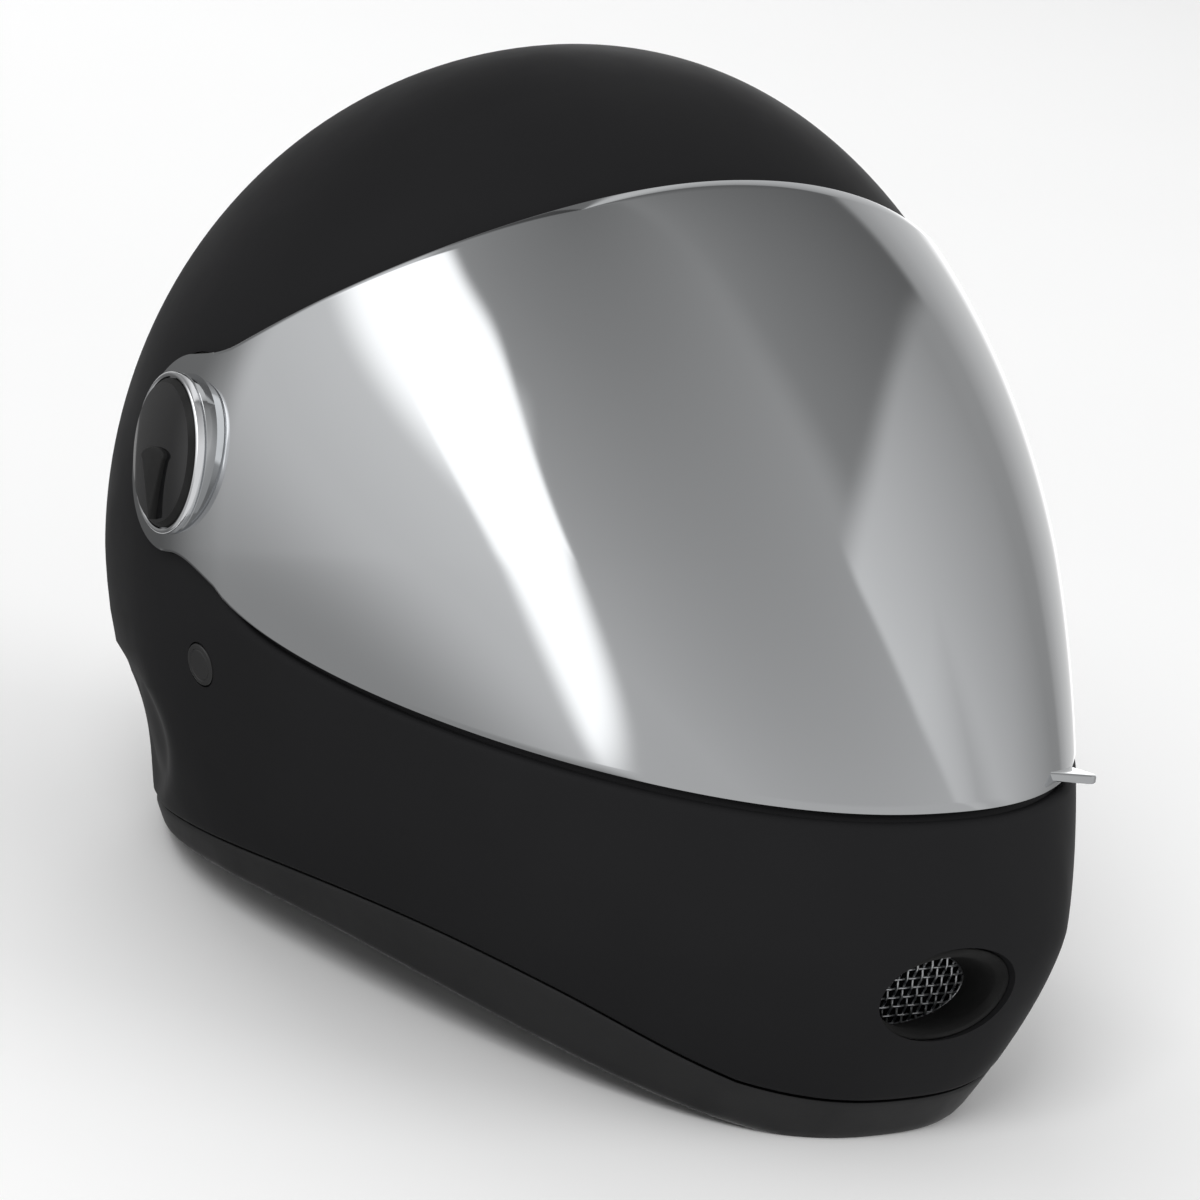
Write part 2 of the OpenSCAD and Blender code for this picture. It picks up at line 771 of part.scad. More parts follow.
module visor_tab() {
    z = low_edge(tab_angle) + 1.4;
    along = skin(z, tab_angle + 3, lip) - skin(z, tab_angle - 3, lip);
    translate(skin(z, tab_angle, lip))
        rotate([0, tab_droop, atan2(-along[0], along[1])])
            translate([0, 0, -1.2])
                linear_extrude(height = 2.4)
                    polygon(concat(
                        [[-1.9, -tab_w / 2]],
                        [for (t = [-60 : 15 : 60])
                            [tab_reach - tab_tip + tab_tip * cos(t), tab_tip * sin(t)]],
                        [[-1.9, tab_w / 2], [-0.9, 0]]
                    ));
}

module visor() {
    color([0.75, 0.76, 0.78])
        stand()
            difference() {
                union() {
                    sheet(
                        [for (j = [0 : visor_rows]) [for (q = visor_cols) visor_at(q, j, true)]],
                        [for (j = [0 : visor_rows]) [for (q = visor_cols) visor_at(q, j, false)]]
                    );
                    both_sides()
                        at_knob()
                            translate([0, 0, -boss_t])
                                cylinder(r = boss_r, h = boss_t, $fn = 64);
                    visor_tab();
                }
                both_sides() {
                    at_pivot(hub_top - 30)
                        cylinder(r = hub_r + run_clear, h = 30, $fn = 48);
                    at_knob() {
                        translate([0, 0, -20])
                            cylinder(r = cap_shaft_r + run_clear, h = 30, $fn = 40);
                        cylinder(r = bezel_r + 0.1, h = 6, $fn = 96);
                    }
                }
            }
}

module pivot_base() {
    difference() {
        at_pivot(base_back)
            cylinder(r = hole_r - plate_gap, h = base_t, $fn = 64);
        at_pivot(base_back - 1)
            cylinder(r = hub_r + run_clear, h = base_t + 2, $fn = 48);
        for (t = [45 : 90 : 315])
            at_pivot(base_back - 1)
                rotate([0, 0, t])
                    translate([(ledge_r + hole_r) / 2, 0, 0])
                        cylinder(r = 1.55, h = base_t + 2, $fn = 24);
    }
}

module friction_washer() {
    difference() {
        at_pivot(base_face)
            cylinder(r = shoulder_r + 3, h = washer_t, $fn = 48);
        at_pivot(base_face - 1)
            cylinder(r = hub_r + 0.5, h = washer_t + 2, $fn = 48);
    }
}

module visor_hub() {
    shoulder = base_face + washer_t + seat;
    difference() {
        union() {
            at_pivot(hub_end)
                cylinder(r = hub_r, h = hub_top - 0.1 - hub_end, $fn = 48);
            at_pivot(shoulder)
                cylinder(r = shoulder_r, h = shoulder_t, $fn = 48);
        }
        at_pivot(hub_end - 1)
            cylinder(r = screw_r + 0.03, h = 8, $fn = 24);
    }
}

module hub_retainer() {
    difference() {
        at_pivot(hub_end - retainer_t)
            cylinder(r = retainer_r, h = retainer_t, $fn = 40);
        at_pivot(hub_end - retainer_t - 1)
            cylinder(r = screw_r + 0.05, h = retainer_t + 2, $fn = 24);
    }
}

module hub_screws() {
    color([0.6, 0.6, 0.62])
        stand()
            both_sides() {
                at_pivot(hub_end - retainer_t - 1.4)
                    cylinder(r = 4, h = 1.4, $fn = 32);
                at_pivot(hub_end - retainer_t - 0.1)
                    cylinder(r = screw_r, h = retainer_t + 6.5, $fn = 24);
            }
}

module base_screws() {
    color([0.6, 0.6, 0.62])
        stand()
            both_sides()
                for (t = [45 : 90 : 315])
                    at_pivot(base_back)
                        rotate([0, 0, t])
                            translate([(ledge_r + hole_r) / 2, 0, 0])
                                cylinder(r = 1.5, h = base_t, $fn = 24);
}

module knob_ring() {
    at_knob()
        difference() {
            cylinder(r = bezel_r, h = bezel_h + cup_floor, $fn = 96);
            translate([0, 0, cup_floor])
                cylinder(r = bezel_r - bezel_rim, h = bezel_h + 1, $fn = 96);
            translate([0, 0, -1])
                cylinder(r = cap_shaft_r + 0.5, h = 5, $fn = 40);
        }
}

module knob_cap() {
    low = cup_floor + seat;
    edge = cup_floor + bezel_h - 0.2;
    top = edge + chamfer_h;
    dome_r = cap_r - chamfer_w;
    at_knob() {
        translate([0, 0, -cap_shaft_l])
            cylinder(r = cap_shaft_r, h = cap_shaft_l + low + 0.1, $fn = 40);
        rotate_extrude($fn = 72)
            polygon(concat(
                [[0, low], [cap_r, low], [cap_r, edge]],
                [for (i = [0 : 7]) let (r = dome_r * (1 - i / 7)) [r, top + dome_h * (1 - pow(r / dome_r, 2))]]
            ));
        translate([0, 0, top - 0.2])
            knob_grip();
    }
}

// Wedge grip: a broad end towards the knob's top, a point towards its lower rim
module knob_grip() {
    linear_extrude(height = dome_h + 1.2)
        polygon(concat(
            [[cap_r - chamfer_w - 0.6, 0]],
            [for (t = [60 : 20 : 300]) [1 + 2.4 * cos(t), grip_w / 2 * sin(t)]]
        ));
}

// Strap

module strap_plane() {
    translate([0, rivet_y, rivet_z])
        rotate([strap_lean, 0, 0])
            children();
}
function bow_at(t, o) = let (
        n = [strap_drop * cos(t), strap_a * sin(t)]
    ) [strap_a * cos(t), strap_drop * sin(t)] + o * n / norm(n);
module strap_band(t1, t2, steps) {
    linear_extrude(height = strap_w, center = true)
        polygon(concat(
            [for (i = [0 : steps]) bow_at(t1 + (t2 - t1) * i / steps, strap_t / 2)],
            [for (i = [steps : -1 : 0]) bow_at(t1 + (t2 - t1) * i / steps, -strap_t / 2)]
        ));
}
buckle_t = -90 + buckle_turn;
module at_buckle() {
    n = bow_at(buckle_t, 1) - bow_at(buckle_t, 0);
    strap_plane()
        translate([each bow_at(buckle_t, 0), 0])
            rotate([0, 0, atan2(n[1], n[0]) + 90])
                children();
}
half_in = strap_w / 2 + 0.6;
wall = 2;
buckle_mm = 180 / PI / norm([strap_a * sin(buckle_t), strap_drop * cos(buckle_t)]);
lever_pin_x = 11;
lever_pin_y = -3.6;

module strap_left() {
    color([0.07, 0.07, 0.07])
        stand()
            difference() {
                strap_plane()
                    strap_band(6, buckle_t + 12 * buckle_mm, 24);
                rivet_bore();
            }
}
module strap_right() {
    color([0.07, 0.07, 0.07])
        stand()
            difference() {
                strap_plane()
                    strap_band(174, 270 + buckle_turn - (buckle_l / 2 + 1.8) * buckle_mm, 30);
                mirror([1, 0, 0])
                    rivet_bore();
            }
}
module rivet_bore() {
    at_rivet()
        translate([0, 0, -30])
            cylinder(r = shank_r + seat, h = 40, $fn = 32);
}
module strap_rivets() {
    color([0.05, 0.05, 0.05])
        stand()
            both_sides()
                at_rivet() {
                    translate([0, 0, -1.2])
                        cylinder(r = rivet_r, h = 1.5, $fn = 48);
                    translate([0, 0, -16.5])
                        cylinder(r = shank_r, h = 16, $fn = 32);
                }
}
module strap_washers() {
    color([0.6, 0.6, 0.62])
        stand()
            both_sides()
                at_rivet()
                    translate([0, 0, -15.4])
                        difference() {
                            cylinder(r = rivet_r, h = 1.2, $fn = 40);
                            translate([0, 0, -1])
                                cylinder(r = shank_r + run_clear, h = 4, $fn = 32);
                        }
}
module buckle_frame() {
    color([0.08, 0.08, 0.08])
        stand()
            at_buckle()
                difference() {
                    translate([-buckle_l / 2, -5.8, -half_in - wall])
                        cube([buckle_l, 9.8, 2 * (half_in + wall)]);
                    translate([-buckle_l / 2 - 1, -8, -half_in])
                        cube([buckle_l + 2, 10.2, 2 * half_in]);
                    translate([lever_pin_x, lever_pin_y, -20])
                        cylinder(r = lever_pin_r, h = 40, $fn = 24);
                }
}
module buckle_pin() {
    color([0.6, 0.6, 0.62])
        stand()
            at_buckle()
                translate([lever_pin_x, lever_pin_y, -half_in - wall])
                    cylinder(r = lever_pin_r, h = 2 * (half_in + wall), $fn = 24);
}
module buckle_lever() {
    reach = lever_pin_x + buckle_l / 2 - 5;
    color([0.55, 0.05, 0.04])
        stand()
            at_buckle()
                difference() {
                    union() {
                        translate([lever_pin_x - reach, -4.6, -half_in + 0.4])
                            cube([reach, 2.6, 2 * half_in - 0.8]);
                        translate([lever_pin_x, lever_pin_y, -half_in + 0.4])
                            cylinder(r = 2.3, h = 2 * half_in - 0.8, $fn = 32);
                    }
                    translate([lever_pin_x, lever_pin_y, -20])
                        cylinder(r = lever_pin_r + run_clear, h = 40, $fn = 24);
                }
}
module ratchet_tongue() {
    color([0.3, 0.3, 0.31])
        stand()
            at_buckle()
                translate([-buckle_l / 2 - 1.5, -0.7, -strap_w / 2 + 1])
                    cube([buckle_l - 6, 2.4, strap_w - 2]);
}

module cheek_pad_left() {
    color([0.1, 0.1, 0.1])
        stand()
            cheek_pad();
}
module cheek_pad_right() {
    color([0.1, 0.1, 0.1])
        stand()
            at_right(true)
                cheek_pad();
}

module side_pad_left() {
    color([0.1, 0.1, 0.1])
        stand()
            side_pad();
}
module side_pad_right() {
    color([0.1, 0.1, 0.1])
        stand()
            at_right(true)
                side_pad();
}

module pivot_base_left() {
    color([0.07, 0.07, 0.07])
        stand()
            pivot_base();
}
module pivot_base_right() {
    color([0.07, 0.07, 0.07])
        stand()
            at_right(true)
                pivot_base();
}

module friction_washer_left() {
    color([0.5, 0.5, 0.5])
        stand()
            friction_washer();
}
module friction_washer_right() {
    color([0.5, 0.5, 0.5])
        stand()
            at_right(true)
                friction_washer();
}

module visor_hub_left() {
    color([0.3, 0.3, 0.3])
        stand()
            visor_hub();
}
module visor_hub_right() {
    color([0.3, 0.3, 0.3])
        stand()
            at_right(true)
                visor_hub();
}

module hub_retainer_left() {
    color([0.6, 0.6, 0.62])
        stand()
            hub_retainer();
}
module hub_retainer_right() {
    color([0.6, 0.6, 0.62])
        stand()
            at_right(true)
                hub_retainer();
}

module knob_ring_left() {
    color([0.8, 0.8, 0.82])
        stand()
            knob_ring();
}
module knob_ring_right() {
    color([0.8, 0.8, 0.82])
        stand()
            at_right(true)
                knob_ring();
}

module knob_cap_left() {
    color([0.03, 0.03, 0.03])
        stand()
            knob_cap();
}
module knob_cap_right() {
    color([0.03, 0.03, 0.03])
        stand()
            at_right(true)
                knob_cap();
}

outer_shell();
base_trim();
port_gasket();
vent_frame();
vent_mesh();
vent_filter();
energy_liner();
chin_liner();
crown_pad();
brow_pad();
side_pad_left();
side_pad_right();
cheek_pad_left();
cheek_pad_right();
neck_roll();
visor();
pivot_base_left();
pivot_base_right();
base_screws();
friction_washer_left();
friction_washer_right();
visor_hub_left();
visor_hub_right();
hub_retainer_left();
hub_retainer_right();
hub_screws();
knob_ring_left();
knob_ring_right();
knob_cap_left();
knob_cap_right();
strap_rivets();
strap_washers();
strap_left();
strap_right();
buckle_frame();
buckle_pin();
buckle_lever();
ratchet_tongue();
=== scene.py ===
"""Full-face downhill helmet: the finished surfaces of its shell, visor, knobs and lining."""
from math import acos, atan, atan2, copysign, cos, degrees, exp, hypot, pi, radians, sin, sqrt, tan

import bmesh
import bpy
from bpy.props import FloatProperty, FloatVectorProperty, IntProperty, PointerProperty
from mathutils import Matrix, Vector


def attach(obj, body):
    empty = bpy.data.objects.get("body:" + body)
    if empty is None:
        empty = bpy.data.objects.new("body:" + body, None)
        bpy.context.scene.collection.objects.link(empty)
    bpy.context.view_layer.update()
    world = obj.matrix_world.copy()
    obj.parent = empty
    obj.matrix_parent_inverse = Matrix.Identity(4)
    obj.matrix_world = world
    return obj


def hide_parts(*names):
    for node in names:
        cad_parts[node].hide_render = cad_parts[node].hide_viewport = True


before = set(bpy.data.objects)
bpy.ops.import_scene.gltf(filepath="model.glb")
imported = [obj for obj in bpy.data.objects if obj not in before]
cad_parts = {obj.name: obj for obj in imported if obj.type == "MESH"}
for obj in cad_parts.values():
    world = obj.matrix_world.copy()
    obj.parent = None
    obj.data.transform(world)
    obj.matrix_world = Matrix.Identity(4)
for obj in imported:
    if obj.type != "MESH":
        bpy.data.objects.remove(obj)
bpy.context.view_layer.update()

bl_info = {
    "name": "Full-face helmet",
    "version": (1, 0, 0),
    "blender": (4, 5, 0),
    "location": "3D View > Sidebar > Helmet",
    "description": "Builds the shell, visor, knobs and lining of a full-face helmet",
    "category": "Object",
}

# Form of the helmet in millimetres, head upright: +Z up, the face towards -Y, wearer's left +X
HALF_W, WIDEST_Z, CROWN_Z, CROWN_BACK = 118.0, 148.0, 280.0, 5.0
FRONT, FRONT_Z, BACK, BACK_Z = 153.0, 51.0, 141.0, 138.0
SHELL_T, SIDE_TAPER, FRONT_TAPER, BACK_TAPER = 4.0, 0.50, 0.21, 0.26
SIDE_POWER, FACE_POWER, SECTION_FRONT, SECTION_BACK = 2.06, 1.49, 2.1, 2.2
SCOOP_DEPTH, SCOOP_Z = 4.5, 98.0
RAKE, RIM_ARCH, TRIM_REAR, TRIM_SIDE, TRIM_GRIP = 16.5, 14.5, 9.0, 20.0, 8.0
EAR_TOP, BROW_RISE, VISOR_CHIN, EDGE_CLIMB = 200.0, 42.5, 85.0, 53.5
VISOR_T, VISOR_GAP, LIP_GAP, PORT_OVERLAP, PORT_HALF = 1.5, 1.0, 2.0, 10.0, 75.0
PIVOT_Y, PIVOT_Z, EAR_R, HOLE_R, HUB_R = 19.5, 172.3, 25.5, 26.1, 8.0
BEZEL_R, BEZEL_H, BEZEL_RIM, CUP_FLOOR, BOSS_UP, BOSS_T = 21.0, 1.6, 1.4, 0.8, 0.2, 4.5
KNOB_BACK, KNOB_UP, DOME_H, GRIP_W, CHAMFER_W, CHAMFER_H = 10.0, 4.0, 1.3, 15.0, 1.2, 1.4
VENT_W, VENT_H, VENT_Z, VENT_DEPTH, MESH_PITCH, WIRE_D, FILTER_T = 21.5, 12.0, 40.0, 18.0, 3.0, 0.8, 3.0
TAB_W, TAB_REACH, TAB_TIP, TAB_ANGLE, TAB_DROOP = 22.0, 8.5, 3.5, 27.0, 8.0
RIVET_Y, RIVET_Z, RIVET_R = 11.0, 118.0, 5.6
STRAP_W, STRAP_T, STRAP_DROP, STRAP_LEAN, BUCKLE_TURN, BUCKLE_L = 22.0, 1.8, 84.0, 59.4, 16.0, 34.0
LINER_OUT = -SHELL_T - 1.1
LINER_T, PAD_T, CHEEK_T, CHIN_FOAM_T, PAD_SEAT = 28.0, 9.0, 30.0, 14.0, 1.4
LINER_IN = LINER_OUT - LINER_T
LIP = VISOR_GAP + VISOR_T
RIM_FRONT = 0.85 * FRONT
EAR_LOW = VISOR_CHIN + EDGE_CLIMB
STAND_SHIFT = -147.393
# Behind this place, along the standing helmet, the visor's edge isn't rounded
SHARP_FROM = 42.45
# Place of the buckle's hinge in its own frame: along the strap, and off it
HINGE_X, HINGE_Y = 11.0, -3.6
MM = 0.001

# Where the pads lie, by angle from the front, and the side pads' heights
CHEEK_FROM, CHEEK_TO, SIDE_FROM, SIDE_TO, SIDE_LOW, SIDE_HIGH = 45, 74, 112, 150, 112, 186
BROW_HALF, NAPE_FROM, NAPE_TO, CROWN_LOW = 48, 154, 206, 214.0
# Place of a pad's edge seam on a scale of 0 to 1; past 1 there is none
SEAM, NO_SEAM = 0.90, 2.0

# Studio: name, place, height aimed at, size and power of each lamp; then the camera's place and axes
LAMPS = (
    ("key", (-1.6, -1.1, 1.9), 0.12, (1.2, 1.2), 26),
    ("fill", (1.7, -1.4, 1.2), 0.12, (1.4, 1.0), 12),
    ("rim_light", (0.4, 1.8, 1.6), 0.15, (1.6, 0.8), 14),
)
CAMERA_AT = (-898.79, -1201.33, 209.52)
CAMERA_RIGHT, CAMERA_BACK = Vector((0.7992, -0.6011, 0.0)), Vector((-0.60029, -0.7981, 0.05191))
AMBIENT = 0.55
WALL_R = 3.6


def ramp(t):
    """Eased step from 0 to 1."""
    t = min(max(t, 0.0), 1.0)
    return t * t * (3 - 2 * t)


def sin_d(a):
    return sin(radians(a))


def cos_d(a):
    return cos(radians(a))


def spun(angle, axis):
    """Rotation about an axis, in degrees."""
    return Matrix.Rotation(radians(angle), 4, axis)


def from_front(a):
    """Angle from the front, 0 to 180 degrees."""
    return degrees(acos(max(-1.0, min(1.0, cos_d(a)))))


def bow(z, top, wide, p, taper, q, blend):
    """Share of a reach at a height."""
    if z >= wide:
        up = min((z - wide) / (top - wide), 1.0)
        pp = p + (2 - p) * up ** blend
        return max(1 - up ** pp, 0.0) ** (1 / pp)
    return 1 - taper * ((wide - z) / wide) ** q


def level(z, d):
    """Half width, front, back, middle and section powers at a height, d outside the shell."""
    top = CROWN_Z + d
    half = (HALF_W + d) * bow(z, top, WIDEST_Z, SIDE_POWER, SIDE_TAPER, 1.61, 3)
    f = bow(z, top, FRONT_Z, FACE_POWER, FRONT_TAPER, 1.46, 4.2)
    b = bow(z, top, BACK_Z, 2, BACK_TAPER, 1.93, 3)
    low = ramp(1 - z / WIDEST_Z)
    high = ramp((z - WIDEST_Z) / (CROWN_Z - WIDEST_Z))
    front = CROWN_BACK - (FRONT + d + CROWN_BACK) * f if z >= FRONT_Z else -(FRONT + d) * f
    back = CROWN_BACK + (BACK + d - CROWN_BACK) * b if z >= BACK_Z else (BACK + d) * b
    middle = -1.9 + 8.6 * low + (CROWN_BACK + 1.9) * high
    return half, front, back, middle, SECTION_FRONT + 0.35 * low, SECTION_BACK + 0.14 * low - 0.13 * high


def scoop(z, a):
    """Depth of the hollow in the rear lower side."""
    return SCOOP_DEPTH * ramp(2 - 2 * hypot((from_front(a) - 124) / 21, (z - SCOOP_Z) / 24))


def skin(z, a, d):
    """Point of the skin at a height and an angle from the front."""
    half, front, back, middle, n1, n2 = level(z, d - scoop(z, a))
    s, c = sin_d(a), cos_d(a)
    n, reach = (n1, front - middle) if c > 0 else (n2, back - middle)
    return (copysign(abs(s) ** (2 / n), s) * half, middle + reach * abs(c) ** (2 / n), z)


def side_x(y, z, d):
    """Distance of the skin's side from the middle plane."""
    half, front, back, middle, n1, n2 = level(z, d)
    reach, n = (front - middle, n1) if y < middle else (back - middle, n2)
    return half * max(1 - abs((y - middle) / reach) ** n, 0.0) ** (1 / n)


def face_y(x, z, d):
    """Place of the face's skin along Y."""
    half, front, back, middle, n1, n2 = level(z, d)
    return middle + (front - middle) * max(1 - (abs(x) / half) ** n1, 0.0) ** (1 / n1)


def rim_z(y):
    return tan(radians(RAKE)) * (y + RIM_FRONT) + RIM_ARCH * max(0.0, 1 - ((y + 8) / 110) ** 2)


def trim_h(y):
    return TRIM_REAR + (TRIM_SIDE - TRIM_REAR) * exp(-((y + 85) / (45 if y < -85 else 85)) ** 2)


def follow(a, d, rise):
    """Height at an angle that lies on the rim, or above it by a share of the band's height."""
    z = 40.0
    for _ in range(6):
        y = skin(z, a, d)[1]
        z = rim_z(y) + rise * trim_h(y)
    return z


def top_edge(a):
    return EAR_TOP + BROW_RISE * cos_d(a)


def low_edge(a):
    return EAR_LOW - EDGE_CLIMB * max(cos_d(a), 0.0) ** 0.764


def port_share(a):
    return sqrt(1 - (abs(a) / PORT_HALF) ** 6) if abs(a) < PORT_HALF else 0.0


PORT_MID = (low_edge(PORT_HALF) + top_edge(PORT_HALF)) / 2


def port_low(a):
    return PORT_MID - (PORT_MID - low_edge(a) - PORT_OVERLAP) * port_share(a)


def port_high(a):
    return PORT_MID + (top_edge(a) - PORT_OVERLAP - PORT_MID) * port_share(a)


def lip_at(a):
    return LIP * (1 - ramp((abs(a) - 95) / 35))


def visor_in(z, a):
    return VISOR_GAP + 0.6 * max(cos_d(a), 0.0) ** 4 * ramp((z - 140) / 60)


STAND = (
    Matrix.Translation((0, STAND_SHIFT, 0))
    @ spun(-RAKE, "X")
    @ Matrix.Translation((0, RIM_FRONT, 0))
)


def stood(p):
    """A point of the upright form, in metres on the standing helmet."""
    return (STAND @ Vector(p)) * MM


PIVOT_X = side_x(PIVOT_Y, PIVOT_Z, 0)


def lean(y, z):
    """How far the side's skin leans back and up, in degrees."""
    back = degrees(atan((side_x(y - 2, z, 0) - side_x(y + 2, z, 0)) / 4))
    up = degrees(atan((side_x(y, z - 2, 0) - side_x(y, z + 2, 0)) / 4))
    return back, up


def facing(origin, back, up, side=1):
    """Frame with its Z along the outward direction of a side; side -1 mirrors it."""
    turn = spun(back, "Z") @ spun(90 - up, "Y")
    flip = Matrix.Diagonal((side, 1, 1, 1))
    return flip @ Matrix.Translation(origin) @ turn


def knob_frame(side):
    seat = facing((PIVOT_X + LIP, PIVOT_Y, PIVOT_Z), KNOB_BACK, KNOB_UP, side)
    return seat @ Matrix.Translation((0, 0, BOSS_UP))


def rivet_frame(side):
    back, up = lean(RIVET_Y, RIVET_Z)
    return facing((side_x(RIVET_Y, RIVET_Z, LIP), RIVET_Y, RIVET_Z), back, up, side)


# Mesh helpers

def shown(name, data):
    """A new object linked to the scene."""
    obj = bpy.data.objects.new(name, data)
    bpy.context.scene.collection.objects.link(obj)
    return obj


def mesh_of(bm, name):
    """A mesh made from a bmesh, which is then freed."""
    mesh = bpy.data.meshes.new(name)
    bm.to_mesh(mesh)
    bm.free()
    return mesh


def built(obj):
    """A bmesh of an object as its curve or modifiers make it."""
    graph = bpy.context.evaluated_depsgraph_get()
    mesh = bpy.data.meshes.new_from_object(obj.evaluated_get(graph), depsgraph=graph)
    bm = bmesh.new()
    bm.from_mesh(mesh)
    bpy.data.meshes.remove(mesh)
    return bm


def outwards(bm):
    """Turns every face's front outwards."""
    bmesh.ops.recalc_face_normals(bm, faces=bm.faces)
    return bm


def welded(bm, gap):
    """Merges the points that lie closer than a gap."""
    bmesh.ops.remove_doubles(bm, verts=bm.verts, dist=gap)
    return bm


def grid(nu, nv, spot):
    """A bmesh grid whose corner (i, j) goes to spot(i, j), given in upright millimetres."""
    bm = bmesh.new()
    bmesh.ops.create_grid(bm, x_segments=nu, y_segments=nv, size=0.5)
    for v in bm.verts:
        i, j = round((v.co.x + 0.5) * nu), round((v.co.y + 0.5) * nv)
        v.co = stood(spot(i, j))
    return welded(bm, 2e-6)


def turned(profile, steps=96):
    """A bmesh spun about Z from (radius, height) points."""
    bm = bmesh.new()
    verts = [bm.verts.new((r, 0, h)) for r, h in profile]
    edges = [bm.edges.new(pair) for pair in zip(verts, verts[1:])]
    bmesh.ops.spin(bm, geom=verts + edges, cent=(0, 0, 0), axis=(0, 0, 1), angle=2 * pi,
                   steps=steps, use_merge=True, use_duplicate=False)
    return outwards(welded(bm, 1e-5))


def drum(radius, low, high, segments=96):
    """A closed cylinder on Z from low to high."""
    bm = bmesh.new()
    bmesh.ops.create_cone(bm, cap_ends=True, segments=segments, radius1=radius, radius2=radius,
                          depth=high - low)
    bmesh.ops.translate(bm, vec=(0, 0, (low + high) / 2), verts=bm.verts)
    return bm


def raised(outline, low, high, axis="Z"):
    """Prism of an (x, y) outline from low to high along Z, or of a (y, z) outline along X."""
    bm = bmesh.new()
    spots = [(x, y, low) if axis == "Z" else (low, x, y) for x, y in outline]
    base = bm.faces.new([bm.verts.new(p) for p in spots])
    top = bmesh.ops.extrude_face_region(bm, geom=[base])
    step = (0, 0, high - low) if axis == "Z" else (high - low, 0, 0)
    bmesh.ops.translate(bm, vec=step, verts=[v for v in top["geom"] if isinstance(v, bmesh.types.BMVert)])
    return outwards(bm)


def tube(points, radius, resolution):
    """A bmesh tube along upright points, capped at both ends."""
    curve = bpy.data.curves.new("tube", "CURVE")
    curve.dimensions = "3D"
    curve.bevel_depth = radius * MM
    curve.bevel_resolution = resolution
    curve.use_fill_caps = True
    spline = curve.splines.new("POLY")
    spline.points.add(len(points) - 1)
    for spot, p in zip(spline.points, points):
        spot.co = (*stood(p), 1)
    obj = shown("tube", curve)
    bm = built(obj)
    bpy.data.objects.remove(obj)
    bpy.data.curves.remove(curve)
    return bm


def softened(bm, width, segments=3, above=50, chosen=None):
    """Rounds the edges that turn by more than an angle, or only those chosen of them."""
    edges = [e for e in bm.edges if e.calc_face_angle(0) > radians(above) and (chosen is None or chosen(e))]
    bmesh.ops.bevel(bm, geom=edges, offset=width, offset_type="OFFSET", affect="EDGES", segments=segments,
                    profile=0.5, material=-1)
    return bm


def thicken(bm, thickness):
    """Gives an outward-facing sheet a wall on its inner side."""
    bmesh.ops.solidify(outwards(bm), geom=bm.faces[:], thickness=thickness * MM)
    return outwards(bm)


def shifted(bm, *vec):
    bmesh.ops.translate(bm, vec=vec, verts=bm.verts)
    return bm


def put(bm, matrix):
    """Places a bmesh made in upright millimetres by a frame, on the standing helmet."""
    bmesh.ops.transform(bm, matrix=Matrix.Scale(MM, 4) @ STAND @ matrix, verts=bm.verts)
    if matrix.determinant() < 0:
        bmesh.ops.reverse_faces(bm, faces=bm.faces)
    return bm


def join(bm, other):
    """Adds a second bmesh to the first."""
    mesh = mesh_of(other, "part")
    bm.from_mesh(mesh)
    bpy.data.meshes.remove(mesh)
    return bm


def cut(bm, cutters):
    """A bmesh with the closed cutter meshes taken out of it."""
    blank = shown("blank", mesh_of(bm, "blank"))
    tools = [shown("tool", mesh_of(cutter, "tool")) for cutter in cutters]
    for tool in tools:
        mod = blank.modifiers.new("hole", "BOOLEAN")
        mod.operation, mod.solver, mod.object = "DIFFERENCE", "EXACT", tool
    out = built(blank)
    for obj in [blank] + tools:
        data = obj.data
        bpy.data.objects.remove(obj)
        bpy.data.meshes.remove(data)
    return out


def vent_cutter(grow, low, high):
    """Oval that opens the chin vent, from low to high along the way out."""
    bm = drum(1.0, low, high)
    bmesh.ops.scale(bm, vec=(VENT_W + grow, VENT_H + grow, 1), verts=bm.verts)
    return put(bm, Matrix.Translation((0, face_y(0, VENT_Z, 0), VENT_Z)) @ spun(90, "X"))


def pivot_cutter(side, radius, depth, length):
    """Round hole about the visor's pivot, starting some depth inside the skin."""
    axle = Matrix.Translation((PIVOT_X - depth, PIVOT_Y, PIVOT_Z)) @ spun(90, "Y")
    return put(drum(radius, 0, length), Matrix.Diagonal((side, 1, 1, 1)) @ axle)


def piece(name, bm, body, material, node, sharp):
    """A finished object from a bmesh, riding on a body in the place of a node."""
    mesh = mesh_of(bm, name)
    for poly in mesh.polygons:
        poly.use_smooth = True
    mesh.set_sharp_from_angle(angle=radians(sharp))
    mesh.materials.append(material)
    obj = shown(name, mesh)
    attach(obj, body)
    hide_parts(node)
    return obj


# Materials

